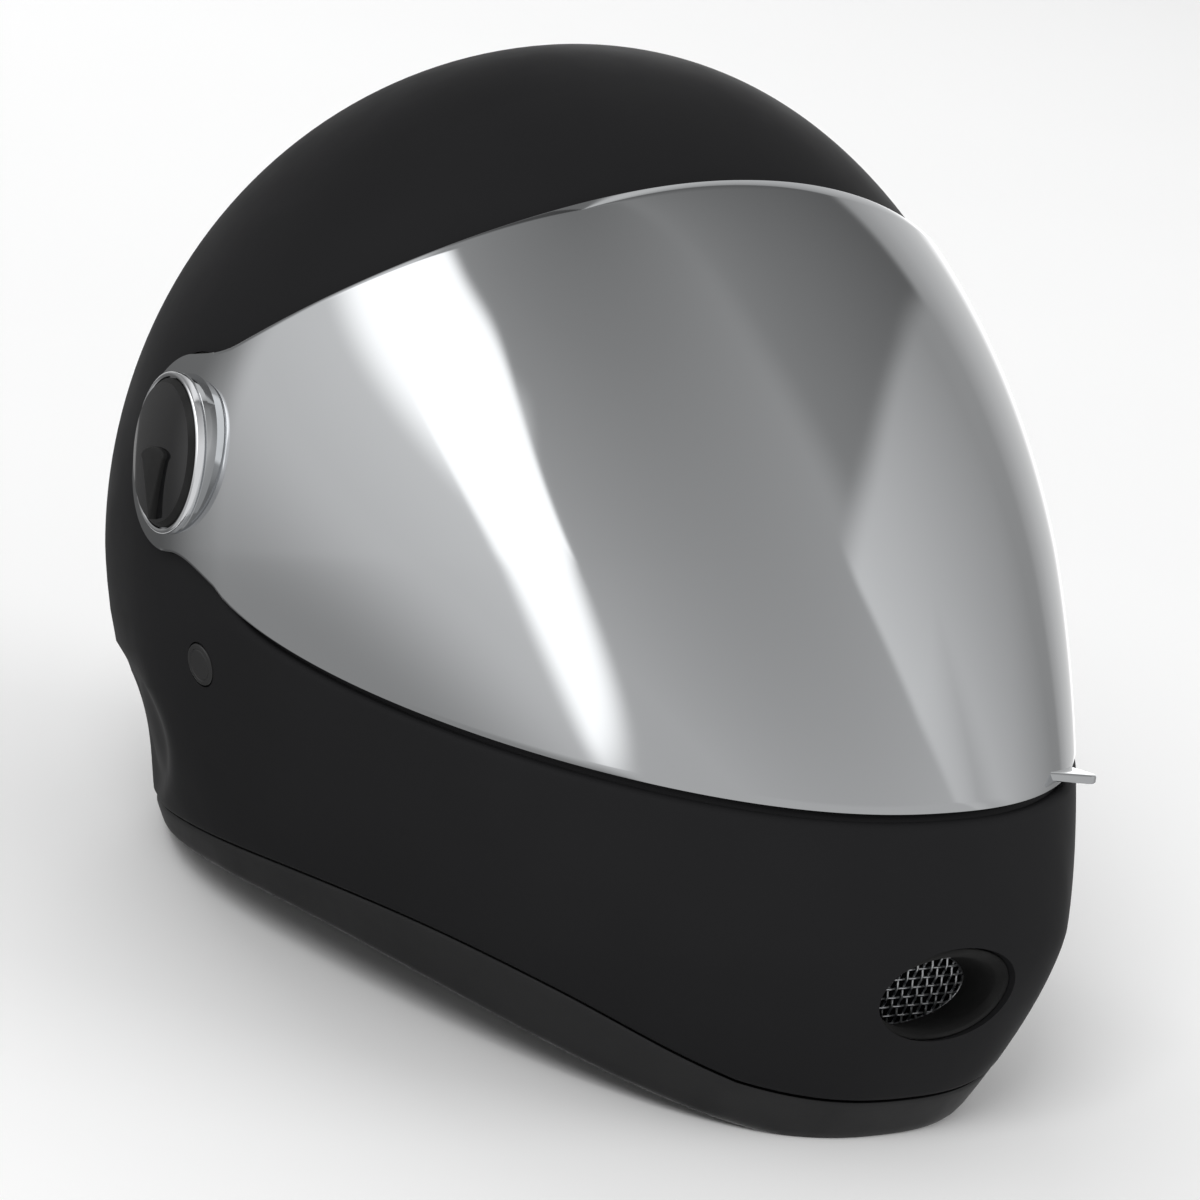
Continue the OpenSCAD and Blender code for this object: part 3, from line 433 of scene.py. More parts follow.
class Finish:
    """A Principled material and the few node steps that its pattern needs."""

    def __init__(self, name, color, roughness, metallic=0.0, **more):
        self.color = color
        self.material = bpy.data.materials.new(name)
        self.material.use_nodes = True
        self.tree = self.material.node_tree
        self.shader = self.tree.nodes["Principled BSDF"]
        self.shader.inputs["Base Color"].default_value = (*color, 1)
        self.shader.inputs["Roughness"].default_value = roughness
        self.shader.inputs["Metallic"].default_value = metallic
        for key, value in more.items():
            self.shader.inputs[key.replace("_", " ")].default_value = value
        self.coords = self.tree.nodes.new("ShaderNodeTexCoord")

    def node(self, kind, **inputs):
        n = self.tree.nodes.new(kind)
        for key, value in inputs.items():
            n.inputs[key.replace("_", " ")].default_value = value
        return n

    def link(self, a, b):
        self.tree.links.new(a, b)

    def noise(self, scale, detail=3.0, rough=0.5):
        n = self.node("ShaderNodeTexNoise", Scale=scale, Detail=detail, Roughness=rough)
        self.link(self.coords.outputs["Object"], n.inputs["Vector"])
        return n.outputs["Fac"]

    def cells(self, scale):
        n = self.node("ShaderNodeTexVoronoi", Scale=scale)
        self.link(self.coords.outputs["Object"], n.inputs["Vector"])
        return n.outputs["Distance"]

    def remap(self, value, low, high, start=0.0, end=1.0, kind="LINEAR"):
        n = self.node("ShaderNodeMapRange", From_Min=start, From_Max=end, To_Min=low, To_Max=high)
        n.interpolation_type = kind
        self.link(value, n.inputs["Value"])
        return n.outputs["Result"]

    def math(self, operation, *values):
        """One math node, or a chain of them where there are more than two values."""
        out = values[0]
        for value in values[1:] or (None,):
            n = self.tree.nodes.new("ShaderNodeMath")
            n.operation = operation
            for k, v in enumerate((out, value)):
                if isinstance(v, (int, float)):
                    n.inputs[k].default_value = v
                elif v is not None:
                    self.link(v, n.inputs[k])
            out = n.outputs[0]
        return out

    def tint(self, fac, dark, light):
        n = self.tree.nodes.new("ShaderNodeMix")
        n.data_type = "RGBA"
        n.inputs["A"].default_value = (*dark, 1)
        n.inputs["B"].default_value = (*light, 1)
        self.link(fac, n.inputs["Factor"])
        self.link(n.outputs["Result"], self.shader.inputs["Base Color"])

    def shade(self, fac, dark, light):
        """Varies the colour between two shares of itself."""
        self.tint(fac, tuple(c * dark for c in self.color), tuple(c * light for c in self.color))

    def rough(self, value):
        self.link(value, self.shader.inputs["Roughness"])

    def bump(self, height, strength, distance):
        n = self.node("ShaderNodeBump", Strength=strength, Distance=distance)
        self.link(height, n.inputs["Height"])
        self.link(n.outputs["Normal"], self.shader.inputs["Normal"])

    def axis(self, name):
        n = self.tree.nodes.new("ShaderNodeSeparateXYZ")
        self.link(self.coords.outputs["Object"], n.inputs[0])
        return n.outputs[name]


def surface(name, color, roughness, metallic=0.0, haze=None, shade=None, grain=None, **more):
    """A finish with patterns of roughness (haze), colour (shade) and bump (grain).

    Each pattern is two levels and then a noise's scale, detail and roughness: for haze the lowest
    and highest roughness, for shade the shares of the colour, for grain the strength and distance.
    """
    f = Finish(name, color, roughness, metallic, **more)
    if haze:
        f.rough(f.remap(f.noise(*haze[2:]), *haze[:2], 0.3, 0.7))
    if shade:
        f.shade(f.noise(*shade[2:]), *shade[:2])
    if grain:
        f.bump(f.noise(*grain[2:]), *grain[:2])
    return f


def shell_paint(color):
    """Matt black paint: an even fine grain with slightly worn gloss."""
    return surface("matt black paint", color, 0.5, IOR=1.1, haze=(0.46, 0.55, 38, 4.0, 0.55),
                   shade=(0.9, 1.15, 20), grain=(0.10, 0.00006, 2600, 2.0, 0.6))


def mirror_coat(color, roughness):
    """Silver mirror coating on moulded plastic."""
    return surface("silver mirror coating", color, roughness, 1.0,
                   haze=(roughness * 0.85, roughness * 1.25, 9), grain=(0.05, 0.0004, 14, 2.0, 0.4))


def rubber(name, color):
    """Satin rubber with a fine moulded grain."""
    return surface(name, color, 0.55, IOR=1.3, haze=(0.5, 0.66, 60, 4.0), shade=(0.8, 1.3, 35),
                   grain=(0.22, 0.00015, 1800))


def chrome_plate():
    """Bright chrome on a turned ring."""
    return surface("bright chrome", (0.86, 0.87, 0.89), 0.1, 1.0, haze=(0.06, 0.14, 240, 4.0),
                   grain=(0.03, 0.00005, 700, 2.0))


def steel(name, color):
    """Plain steel with fine machining grain."""
    return surface(name, color, 0.34, 1.0, haze=(0.34 * 0.7, 0.34 * 1.3, 900, 4.0),
                   grain=(0.08, 0.00006, 1500, 2.0))


def moulded(name, color, roughness, grain):
    """Moulded plastic with a spark-eroded texture."""
    f = surface(name, color, roughness, haze=(roughness * 0.85, roughness * 1.25, 70), shade=(0.85, 1.25, 40))
    f.bump(f.cells(grain), 0.12, 0.0001)
    return f


def gloss_black(color):
    """Polished black plastic with the faintest wipe marks."""
    f = surface("polished black plastic", color, 0.06, shade=(0.9, 1.2, 50, 2.0), Coat_Weight=0.5,
                Coat_Roughness=0.03)
    f.rough(f.remap(f.noise(180, 5.0, 0.65), 0.04, 0.10, 0.35, 0.75))
    return f


def filter_foam():
    """Black open-cell filter foam."""
    f = Finish("open-cell foam", (0.004, 0.004, 0.004), 0.95, IOR=1.1)
    # The colour follows the cells as the bump does: darker in the pores and lighter on the cell walls, painted
    # shade.
    f.tint(f.cells(900), (0.002, 0.002, 0.002), (0.008, 0.008, 0.008))
    f.bump(f.cells(900), 0.5, 0.0005)
    return f


def bead_foam():
    """Dark moulded bead foam: rounded cells packed close."""
    f = Finish("dark bead foam", (0.028, 0.028, 0.03), 0.72)
    cell = f.cells(270)
    # Each bead is lighter in its middle and darker towards the creases between beads, following the bump: painted
    # shade.
    f.tint(f.remap(cell, 0.0, 1.0, 0.0, 0.75), (0.045, 0.045, 0.048), (0.014, 0.014, 0.015))
    f.bump(f.math("SUBTRACT", 1.0, cell), 0.5, 0.0006)
    return f


def brushed_knit(color):
    """Soft brushed knit over foam: fine loops in rows with nap."""
    f = Finish("brushed knit", color, 0.9, Sheen_Weight=0.5, Sheen_Roughness=0.5, Specular_IOR_Level=0.2)
    u = f.math("SINE", f.math("MULTIPLY", f.axis("Y"), 4200.0))
    v = f.math("SINE", f.math("MULTIPLY", f.math("ADD", f.axis("Z"), f.axis("X")), 3600.0))
    height = f.math("ADD", f.math("MULTIPLY", u, v, 0.35), f.noise(1400, 4.0, 0.7))
    # The colour follows the bump's height, with its noise: darker in the dips between loops and lighter on their
    # tops, painted shade and painted highlight.
    f.shade(f.remap(height, 0.0, 1.0, 0.1, 1.0), 0.55, 1.5)
    f.bump(height, 0.5, 0.0004)
    return f


def webbing(color):
    """Flat nylon webbing: a herringbone of ribs that follows the strap's own UV map."""
    f = Finish("nylon webbing", color, 0.62, Sheen_Weight=0.2, Specular_IOR_Level=0.35)
    uv, split = f.node("ShaderNodeUVMap"), f.node("ShaderNodeSeparateXYZ")
    uv.uv_map = "run"
    f.link(uv.outputs["UV"], split.inputs[0])
    along, across = split.outputs["X"], split.outputs["Y"]
    zig = f.math("ABSOLUTE", f.math("SUBTRACT", f.math("FRACT", f.math("MULTIPLY", across, 8.0)), 0.5))
    rib = f.math("SINE", f.math("MULTIPLY", f.math("ADD", along, f.math("MULTIPLY", zig, 0.0016)), 5200.0))
    warp = f.math("SINE", f.math("MULTIPLY", across, 150.0))
    height = f.math("ADD", f.math("MULTIPLY", rib, 0.6), f.math("MULTIPLY", warp, 0.4))
    # The colour follows the bump's height: darker in the grooves between ribs and lighter on their tops, painted
    # shade and painted highlight.
    f.shade(f.remap(height, 0.0, 1.0, -1.0, 1.0), 0.5, 1.6)
    f.bump(height, 0.5, 0.0003)
    return f


PLASTICS = {
    "frame": ("black moulded plastic", (0.02, 0.02, 0.021), 0.42, 900),
    # Near-black matt: the knob's grip wedge, and painted shade on the dial's rim and side wall in the gap inside
    # the chrome ring.
    "grip": ("matt black grip", (0.002, 0.002, 0.002), 0.7, 1200),
    "tunnel": ("rough black plastic", (0.0035, 0.0035, 0.0035), 0.85, 700),
    "rivet": ("black painted steel", (0.01, 0.01, 0.0105), 0.42, 600),
    "red": ("red moulded plastic", (0.42, 0.02, 0.018), 0.3, 700),
    "rack": ("grey moulded plastic", (0.05, 0.05, 0.052), 0.42, 900),
    "slip": ("grey slip plastic", (0.3, 0.3, 0.3), 0.5, 500),
    "hub": ("dark hub plastic", (0.05, 0.05, 0.052), 0.4, 600),
}
MADE = {}


def made(key, maker, *args):
    """A material that several pieces share."""
    if key not in MADE:
        MADE[key] = maker(*args).material
    return MADE[key]


def plastic(key):
    return made(key, moulded, *PLASTICS[key])


def dress(node, material):
    """Gives a carried-over CAD node a finished material."""
    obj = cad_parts[node]
    for k in range(len(obj.material_slots)):
        obj.material_slots[k].material = material
    if not obj.material_slots:
        obj.data.materials.append(material)


# Settings

class HelmetShellSettings(bpy.types.PropertyGroup):
    color: FloatVectorProperty(name="Paint", description="Colour of the shell", subtype="COLOR",
                               default=(0.0152, 0.0152, 0.016), min=0, max=1)
    columns: IntProperty(name="Columns", description="Steps round the shell", default=288, min=72, max=480)


class HelmetVisorSettings(bpy.types.PropertyGroup):
    color: FloatVectorProperty(name="Mirror", description="Tone of the mirror coating", subtype="COLOR",
                               default=(0.5, 0.51, 0.52), min=0, max=1)
    roughness: FloatProperty(name="Haze", description="Softness of the reflections", default=0.055, min=0, max=1)


class HelmetLiningSettings(bpy.types.PropertyGroup):
    color: FloatVectorProperty(name="Knit", description="Colour of the pads", subtype="COLOR",
                               default=(0.022, 0.022, 0.024), min=0, max=1)
    nap: FloatProperty(name="Swell", description="How far the cushions swell past their cut", default=0.0012,
                       min=0, max=0.004, unit="LENGTH")


class HelmetStageSettings(bpy.types.PropertyGroup):
    lens: FloatProperty(name="Lens", description="Focal length on a 36 mm sensor", default=168.305,
                        min=20, max=400, unit="CAMERA")
    floor: FloatVectorProperty(name="Floor", description="Colour of the floor", subtype="COLOR",
                               default=(0.96, 0.96, 0.96), min=0, max=1)


# Pieces

def shell_sheet(nu):
    """Outer skin of the shell: the band below the eye port with its lip, and the rest above."""
    lip_r = 2.5
    cache = {}

    def angle(i):
        return -180 + 360 * i / nu

    def column(i):
        if i not in cache:
            a = angle(i)
            l, soft = lip_at(a), ramp((abs(a) - 84) / 16)
            reach = lip_r + 34 * soft
            rest = low_edge(a) - LIP_GAP + 10 * soft
            foot, start = follow(a, 0, 1) + 1.0, rest - reach
            rows = [(foot - cos_d(t), l - (1 - sin_d(t))) for t in (0, 30, 60)]
            rows += [(foot + (start - foot) * k / 22, l) for k in range(23)]
            for t in (15, 30, 45, 60, 75, 90):
                q = sin_d(t)
                rows.append((start + reach * q, l * ((1 - soft) * cos_d(t) + soft * (1 - ramp(q)))))
            rows += [(rest + (port_low(a) - rest) * k / 8, 0) for k in range(1, 9)]
            high = port_high(a)
            upper = [(high + (CROWN_Z - high) * sin(pi / 2 * k / 44), 0) for k in range(45)]
            cache[i] = (rows, upper)
        return cache[i]

    low = grid(nu, 39, lambda i, j: skin(column(i)[0][j][0], angle(i), column(i)[0][j][1]))
    return welded(join(low, grid(nu, 44, lambda i, j: skin(column(i)[1][j][0], angle(i), 0))), 4e-6)


class HELMET_OT_shell(bpy.types.Operator):
    """Builds the painted shell with its vent, pivot holes and rivet seats"""
    bl_idname = "helmet.shell"
    bl_label = "Shell"

    def execute(self, context):
        s = context.scene.helmet_shell
        cutters = [vent_cutter(0, -30, 40)]
        for side in (-1, 1):
            cutters.append(pivot_cutter(side, HOLE_R, 30, 60))
            cutters.append(put(drum(RIVET_R + 0.45, -1.4, 8), rivet_frame(side)))
        bm = cut(thicken(shell_sheet(s.columns), SHELL_T), cutters)
        piece("shell", bm, "shell", made("paint", shell_paint, tuple(s.color)), "outer_shell", 38)
        return {"FINISHED"}


class HELMET_OT_rim(bpy.types.Operator):
    """Builds the rubber rim and dresses the eye port's seal"""
    bl_idname = "helmet.rim"
    bl_label = "Rim"

    def execute(self, context):
        nu = 288
        cache = {}

        def section(i):
            """Outer face from the groove down, round the foot, then up the inner side to the grip."""
            if i not in cache:
                a = -180 + 360 * i / nu
                g, l = follow(a, 0, 1), lip_at(a)
                low, deep = follow(a, l, 0), follow(a, -6.6, 0)
                out = [(g - 0.55 - 1.3 * (1 - sin_d(t)), l - 0.35 - 1.3 * (1 - cos_d(t))) for t in (90, 60, 30, 0)]
                out += [(low + 2.2 + (g - 1.9 - low - 2.2) * k / 4, l - 0.35) for k in (3, 2, 1)]
                out += [(low + 2.2 * (1 - sin_d(t)), l - 0.35 - 2.2 * (1 - cos_d(t))) for t in (0, 30, 60, 90)]
                out += [(follow(a, -5.4, 0), -5.4), (deep + 0.4, -6.6), (deep + 2, -7.0)]
                out += [(g + TRIM_GRIP - 0.8, -SHELL_T - 3.2), (g + TRIM_GRIP, -SHELL_T - 2.7)]
                out += [(g + TRIM_GRIP, -SHELL_T - 1.8), (g + TRIM_GRIP - 0.6, -SHELL_T - 1.6)]
                out += [(g - 0.7, -SHELL_T - 1.6)]
                cache[i] = [skin(z, a, d) for z, d in out]
            return cache[i]

        count = len(section(0))
        bm = outwards(grid(nu, count, lambda i, j: section(i % nu)[j % count]))
        for v in bm.verts:
            v.co.z = max(v.co.z, 0.0)
        grip = made("rubber", rubber, "satin rubber", (0.016, 0.016, 0.0165))
        piece("rim", bm, "shell", grip, "base_trim", 40)
        dress("port_gasket", grip)
        return {"FINISHED"}


class HELMET_OT_visor(bpy.types.Operator):
    """Builds the mirrored visor with its ears, pads and lift tab"""
    bl_idname = "helmet.visor"
    bl_label = "Visor"

    def execute(self, context):
        s = context.scene.helmet_visor
        ears = [90 * k / 22 for k in range(22, 0, -1)]
        flank = [k / 16 for k in range(15, 0, -1)]
        columns = [("ear", -1, e) for e in ears] + [("flank", -1, w) for w in flank]
        columns += [("front", 0, -90 + 1.25 * k) for k in range(145)]
        columns += [("flank", 1, w) for w in reversed(flank)] + [("ear", 1, e) for e in reversed(ears)]
        nv = 64

        def eased(w, z0, slope, z1):
            """Cubic from the front's edge, with its slope there, to the ear's edge, level there."""
            run = (PIVOT_Y - skin(z0, 90, LIP)[1]) * slope
            return (z0 * (2 * w ** 3 - 3 * w ** 2 + 1) + run * (w ** 3 - 2 * w ** 2 + w)
                    + z1 * (3 * w ** 2 - 2 * w ** 3))

        def spot(i, j):
            kind, side, q = columns[i]
            share = j / nv
            if kind == "front":
                z = low_edge(q) + (top_edge(q) - low_edge(q)) * share
                return skin(z, q, visor_in(z, q) + VISOR_T)
            if kind == "flank":
                start_y = skin(low_edge(90) + (top_edge(90) - low_edge(90)) * share, 90, LIP)[1]
                y = start_y + (PIVOT_Y - start_y) * q
                low = eased(q, EAR_LOW, 0.55, PIVOT_Z - EAR_R)
                z = low + (eased(q, EAR_TOP, -0.3, PIVOT_Z + EAR_R) - low) * share
            else:
                y, h = PIVOT_Y + EAR_R * sin_d(q), EAR_R * cos_d(q)
                z = PIVOT_Z - h + 2 * h * share
            return (side * side_x(y, z, LIP), y, z)

        bm = thicken(grid(len(columns) - 1, nv, spot), VISOR_T)
        softened(bm, 0.00035, 2, 50, lambda e: max(v.co.y for v in e.verts) < SHARP_FROM * MM)
        for side in (-1, 1):
            boss = turned([(4.2, -0.05), (BEZEL_R - 0.8, -0.05), (BEZEL_R - 0.2, -0.6), (BEZEL_R - 0.1, -BOSS_T),
                           (HUB_R + 0.2, -BOSS_T), (HUB_R + 0.1, -2.0), (4.2, -2.0), (4.2, -0.05)])
            join(bm, put(boss, knob_frame(side)))
        join(bm, self.tab())
        piece("visor_shield", bm, "visor", made("mirror", mirror_coat, tuple(s.color), s.roughness),
              "visor", 30)
        return {"FINISHED"}

    @staticmethod
    def tab():
        """Flat lift tab: a rounded triangle that slopes down a little."""
        z = low_edge(TAB_ANGLE) + 1.4
        along = Vector(skin(z, TAB_ANGLE + 3, LIP)) - Vector(skin(z, TAB_ANGLE - 3, LIP))
        place = (Matrix.Translation(skin(z, TAB_ANGLE, LIP))
                 @ Matrix.Rotation(atan2(-along.x, along.y), 4, "Z") @ spun(TAB_DROOP, "Y"))
        outline = [(-1.9, -TAB_W / 2)]
        outline += [(TAB_REACH - TAB_TIP + TAB_TIP * cos_d(t), TAB_TIP * sin_d(t)) for t in range(-60, 61, 10)]
        outline += [(-1.9, TAB_W / 2), (-0.9, 0)]
        return put(softened(raised(outline, -1.2, 1.2), 0.7), place)


class HELMET_OT_knobs(bpy.types.Operator):
    """Builds the chrome rings and the domed black knobs"""
    bl_idname = "helmet.knobs"
    bl_label = "Knobs"

    def execute(self, context):
        chrome = made("chrome", chrome_plate)
        black = made("gloss", gloss_black, (0.006, 0.006, 0.0065))
        # Near-black matt for the grip wedge, and painted shade on the dial's rim and side wall.
        dark = plastic("grip")
        top, inner = BEZEL_H + CUP_FLOOR, BEZEL_R - BEZEL_RIM
        cap_r, low = inner - 0.3, CUP_FLOOR + 0.3
        rim, edge = top - 0.2 + CHAMFER_H, cap_r - CHAMFER_W
        for side, word in ((-1, "right"), (1, "left")):
            ring = turned([(4.5, 0), (BEZEL_R - 0.3, 0), (BEZEL_R, 0.25), (BEZEL_R, top - 0.6),
                           (BEZEL_R - 0.15, top - 0.2), (BEZEL_R - 0.5, top), (inner + 0.5, top),
                           (inner + 0.12, top - 0.2), (inner, top - 0.6), (inner, CUP_FLOOR), (4.5, CUP_FLOOR),
                           (4.5, 0)], 128)
            piece("knob_rim_" + word, put(ring, knob_frame(side)), "visor", chrome,
                  "knob_ring_" + word, 40)
            dome = [(edge * (1 - k / 18), rim + DOME_H * (1 - (1 - k / 18) ** 2)) for k in range(1, 19)]
            cap = turned([(0, -3.0), (3.6, -3.0), (4.0, -2.6), (4.0, low), (cap_r - 0.2, low), (cap_r, low + 0.2),
                          (cap_r, top - 0.25), (cap_r - 0.08, top - 0.1), (edge + 0.1, rim - 0.12),
                          (edge, rim)] + dome, 128)
            grip_from = len(cap.faces)
            join(cap, self.grip(cap_r, rim))
            cap.faces.ensure_lookup_table()
            # The grip wedge and the faces on the dial's chamfered rim and side wall take the near-black matt; on
            # the rim and side wall it is painted shade in the gap inside the chrome ring.
            for face in cap.faces:
                middle = face.calc_center_median()
                outside = hypot(middle.x, middle.y) > edge - 0.02
                face.material_index = 1 if face.index >= grip_from or outside else 0
            dial = piece("knob_dial_" + word, put(cap, knob_frame(side)), "knob_" + word, black,
                         "knob_cap_" + word, 40)
            dial.data.materials.append(dark)
        return {"FINISHED"}

    @staticmethod
    def grip(cap_r, rim):
        """Wedge grip: a broad rounded end and a point at the dial's lower rim."""
        outline = [(cap_r - CHAMFER_W - 0.6, 0.0)]
        outline += [(1 + 2.4 * cos_d(t), GRIP_W / 2 * sin_d(t)) for t in range(60, 301, 12)]
        return softened(raised(outline, rim - 0.2, rim + DOME_H + 1.0), 0.4)


class HELMET_OT_vent(bpy.types.Operator):
    """Builds the vent's tunnel, the woven wire at its end and the filter behind"""
    bl_idname = "helmet.vent"
    bl_label = "Chin vent"

    def execute(self, context):
        y0 = face_y(0, VENT_Z, 0)
        slope = (face_y(0, VENT_Z + 4, 0) - face_y(0, VENT_Z - 4, 0)) / 8
        back, lean_in = y0 + VENT_DEPTH, atan(slope)
        wide, tall = VENT_W - 0.3, VENT_H - 0.3

        def section(t):
            c, s = cos_d(t), sin_d(t)

            def at(inset, d=None, deep=None):
                x, z = (wide - inset) * c, VENT_Z + (tall - inset) * s
                y = face_y(wide * c, VENT_Z + tall * s, d) if deep is None else deep + slope * (z - VENT_Z)
                return (x, y, z)

            mouth = ((0.0, 2.2), (0.25, 2.1), (0.9, 2.3), (1.2, 2.6), (2.2, 4.4), (2.4, 5.0))
            end = ((2.4, back - 0.3), (2.1, back), (0.3, back), (0.0, back - 0.3))
            return [at(inset, LIP - d) for inset, d in mouth] + [at(inset, deep=y) for inset, y in end]

        count = 10
        bm = outwards(grid(96, count, lambda i, j: section(360 * (i % 96) / 96)[j % count]))
        piece("vent_surround", bm, "shell", plastic("tunnel"), "vent_frame", 35)
        mesh = self.weave(back, slope)
        piece("vent_weave", mesh, "shell", made("wire", steel, "woven steel wire", (0.5, 0.51, 0.52)),
              "vent_mesh", 60)
        pad = drum(1.0, 0.0, FILTER_T, 128)
        bmesh.ops.scale(pad, vec=(VENT_W - 0.6, (VENT_H - 0.6) / cos(lean_in), 1), verts=pad.verts)
        place = Matrix.Translation((0, back + 0.85, VENT_Z)) @ Matrix.Rotation(radians(-90) - lean_in, 4, "X")
        piece("vent_backing", put(softened(pad, 0.8), place), "shell", made("filter", filter_foam),
              "vent_filter", 40)
        return {"FINISHED"}

    @staticmethod
    def weave(back, slope):
        """Wires that pass over and under each other, in a bead that follows the oval."""
        pitch, r, swing = MESH_PITCH * 0.8, WIRE_D * 0.42, 0.42

        def wire(u, w, level_up):
            return (u, back + slope * w - level_up * cos(atan(slope)) - 0.95, VENT_Z + w)

        mesh = bmesh.new()
        for axis, half, other in ((0, VENT_H - 2.2, VENT_W - 2.2), (1, VENT_W - 2.2, VENT_H - 2.2)):
            for k in range(-int(half / pitch), int(half / pitch) + 1):
                run = other * sqrt(max(1 - (k * pitch / half) ** 2, 0)) if abs(k * pitch) < half else 0
                if run < 2:
                    continue
                steps = max(int(run * 4 / pitch), 6)
                points = []
                for q in range(steps + 1):
                    g = -run + 2 * run * q / steps
                    wave = swing * cos(pi * (g / pitch + k + axis))
                    points.append(wire(g, k * pitch, wave) if axis == 0 else wire(k * pitch, g, wave))
                join(mesh, tube(points, r, 1))
        bead = [wire((VENT_W - 2.4) * cos_d(t), (VENT_H - 2.4) * sin_d(t), 0) for t in range(0, 361, 5)]
        return join(mesh, tube(bead, 0.55, 2))


def domed(nu, rows, spot):
    """Closed bowl of two skins: spot(angle, share up, inner) gives each point; both end at the low rim."""
    return outwards(grid(nu, 2 * rows + 1, lambda i, j: spot(
        -180 + 360 * (i % nu) / nu, (j - rows - 1) / rows if j > rows else (rows - j) / rows, j > rows)))


class HELMET_OT_liner(bpy.types.Operator):
    """Builds the foam skull liner and the foam of the chin"""
    bl_idname = "helmet.liner"
    bl_label = "Foam liner"

    def execute(self, context):
        foam = made("foam", bead_foam)

        def low_at(a):
            if from_front(a) <= PORT_HALF + 5:
                return port_high(a) + 4
            return 137.0 if from_front(a) < 110 else follow(a, 0, 1) + TRIM_GRIP + 3

        def spot(a, share, inner):
            low = low_at(a)
            z = low + (CROWN_Z + LINER_OUT - low) * sin(pi / 2 * share)
            if not inner:
                sides = ramp((150 - from_front(a)) / 12) * ramp((from_front(a) - 88) / 10)
                return skin(z, a, LINER_OUT - SCOOP_DEPTH * sides * ramp((170 - z) / 20) + scoop(z, a))
            d = LINER_OUT - LINER_T * (1 - 0.5 * ramp(cos_d(a)) * (1 - share))
            z = low + (z - low) * (CROWN_Z + d - low) / (CROWN_Z + LINER_OUT - low)
            return skin(z, a, d + scoop(z, a))

        bm = softened(domed(192, 28, spot), 0.0012, 2, 55)
        bm = cut(bm, [pivot_cutter(side, 29.2, 14.6, 40) for side in (-1, 1)])
        piece("skull_foam", bm, "shell", foam, "energy_liner", 40)
        chin = pillow(-40, 40, lambda a: follow(a, 0, 1) + TRIM_GRIP + 2, lambda a: port_low(a) - 4,
                      LINER_OUT - 0.4, CHIN_FOAM_T, CHIN_FOAM_T - 5, 60, 24, 12)[0]
        piece("chin_foam", cut(chin, [vent_cutter(1, -40, 60)]), "shell", foam, "chin_liner", 40)
        return {"FINISHED"}


def pillow(a1, a2, low, high, d, thick, edge, na, nz, power=4):
    """Closed pad between two angles and two heights; gives the bmesh and each vertex's place on it."""
    places = {}

    def spot(i, j):
        front = j <= nz
        u, v = i / na, (j if front else 2 * nz - j) / nz
        s, t = sin((2 * u - 1) * pi / 2), sin((2 * v - 1) * pi / 2)
        rounded = sqrt(max((1 - abs(s) ** 10) * (1 - abs(t) ** 10), 0))
        full = sqrt(max((1 - abs(s) ** power) * (1 - abs(t) ** power), 0))
        a = a1 + (a2 - a1) * (s + 1) / 2
        z = low(a) + (high(a) - low(a)) * (t + 1) / 2
        mid = edge * 0.5
        depth = mid * (1 - rounded)
        if front:
            depth = mid + (mid + (thick - edge) * full / max(rounded, 0.05)) * rounded
        p = skin(z, a, d - depth)
        places[tuple(round(c, 3) for c in p)] = (s, t, front)
        return p

    return outwards(welded(grid(na, 2 * nz, spot), 2e-5)), places


def plump(obj, limit, outward):
    """Swells a pad by cloth pressure; only its free side moves, and never past the limit."""
    scene = bpy.context.scene
    rest = [v.co.copy() for v in obj.data.vertices]
    mod = obj.modifiers.new("swell", "CLOTH")
    mod.settings.quality = 5
    mod.settings.use_pressure = True
    mod.settings.uniform_pressure_force = 4.0
    mod.settings.effector_weights.gravity = 0
    mod.collision_settings.use_collision = False
    mod.point_cache.frame_start, mod.point_cache.frame_end = 1, 20
    for frame_number in range(1, 21):
        scene.frame_set(frame_number)
    graph = bpy.context.evaluated_depsgraph_get()
    swollen = [v.co.copy() for v in obj.evaluated_get(graph).data.vertices]
    obj.modifiers.remove(mod)
    scene.frame_set(1)
    for k, (v, was, now) in enumerate(zip(obj.data.vertices, rest, swollen)):
        move = now - was
        if move.dot(v.normal) < 0 or not outward(k, was):
            continue
        v.co = was + move.normalized() * min(move.length, limit) if move.length > 1e-7 else was


def cushion(name, bm, node, swell, outward, finish=None):
    """A knit-covered piece swollen by pressure, with its seams drawn in and one subdivision."""
    color = tuple(bpy.context.scene.helmet_lining.color)
    obj = piece(name, bm, "shell", made("knit", brushed_knit, color), node, 60)
    plump(obj, swell, outward)
    if finish:
        finish(obj)
    soft = obj.modifiers.new("soften", "SUBSURF")
    soft.levels = soft.render_levels = 1


def pad(name, node, shape, swell, channels=(), stitch=SEAM):
    """A pad from a pillow, with its edge seam and sewn channels; a channel is (place, width, depth)."""
    bm, places = shape
    back = STAND.inverted()
    near = [(i * 0.001, j * 0.001, k * 0.001) for i in (0, -1, 1) for j in (0, -1, 1) for k in (0, -1, 1)]
    bm.verts.index_update()
    spots = []
    for v in bm.verts:
        key = tuple(round(c, 3) for c in back @ (v.co / MM))
        hits = (places.get(tuple(a + b for a, b in zip(key, step))) for step in near)
        spots.append(next((hit for hit in hits if hit), (0, 0, False)))

    def sew(obj):
        normals = [v.normal.copy() for v in obj.data.vertices]
        for v, n, (s, t, front) in zip(obj.data.vertices, normals, spots):
            if not front:
                continue
            deep = 0.0009 * exp(-((max(abs(s), abs(t)) - stitch) / 0.02) ** 2)
            for s0, wide, depth in channels:
                deep = max(deep, depth * exp(-((s - s0) / wide) ** 2) * ramp((stitch - abs(t)) / 0.1))
            v.co -= n * deep

    cushion(name, bm, node, swell, lambda k, co: spots[k][2], sew)


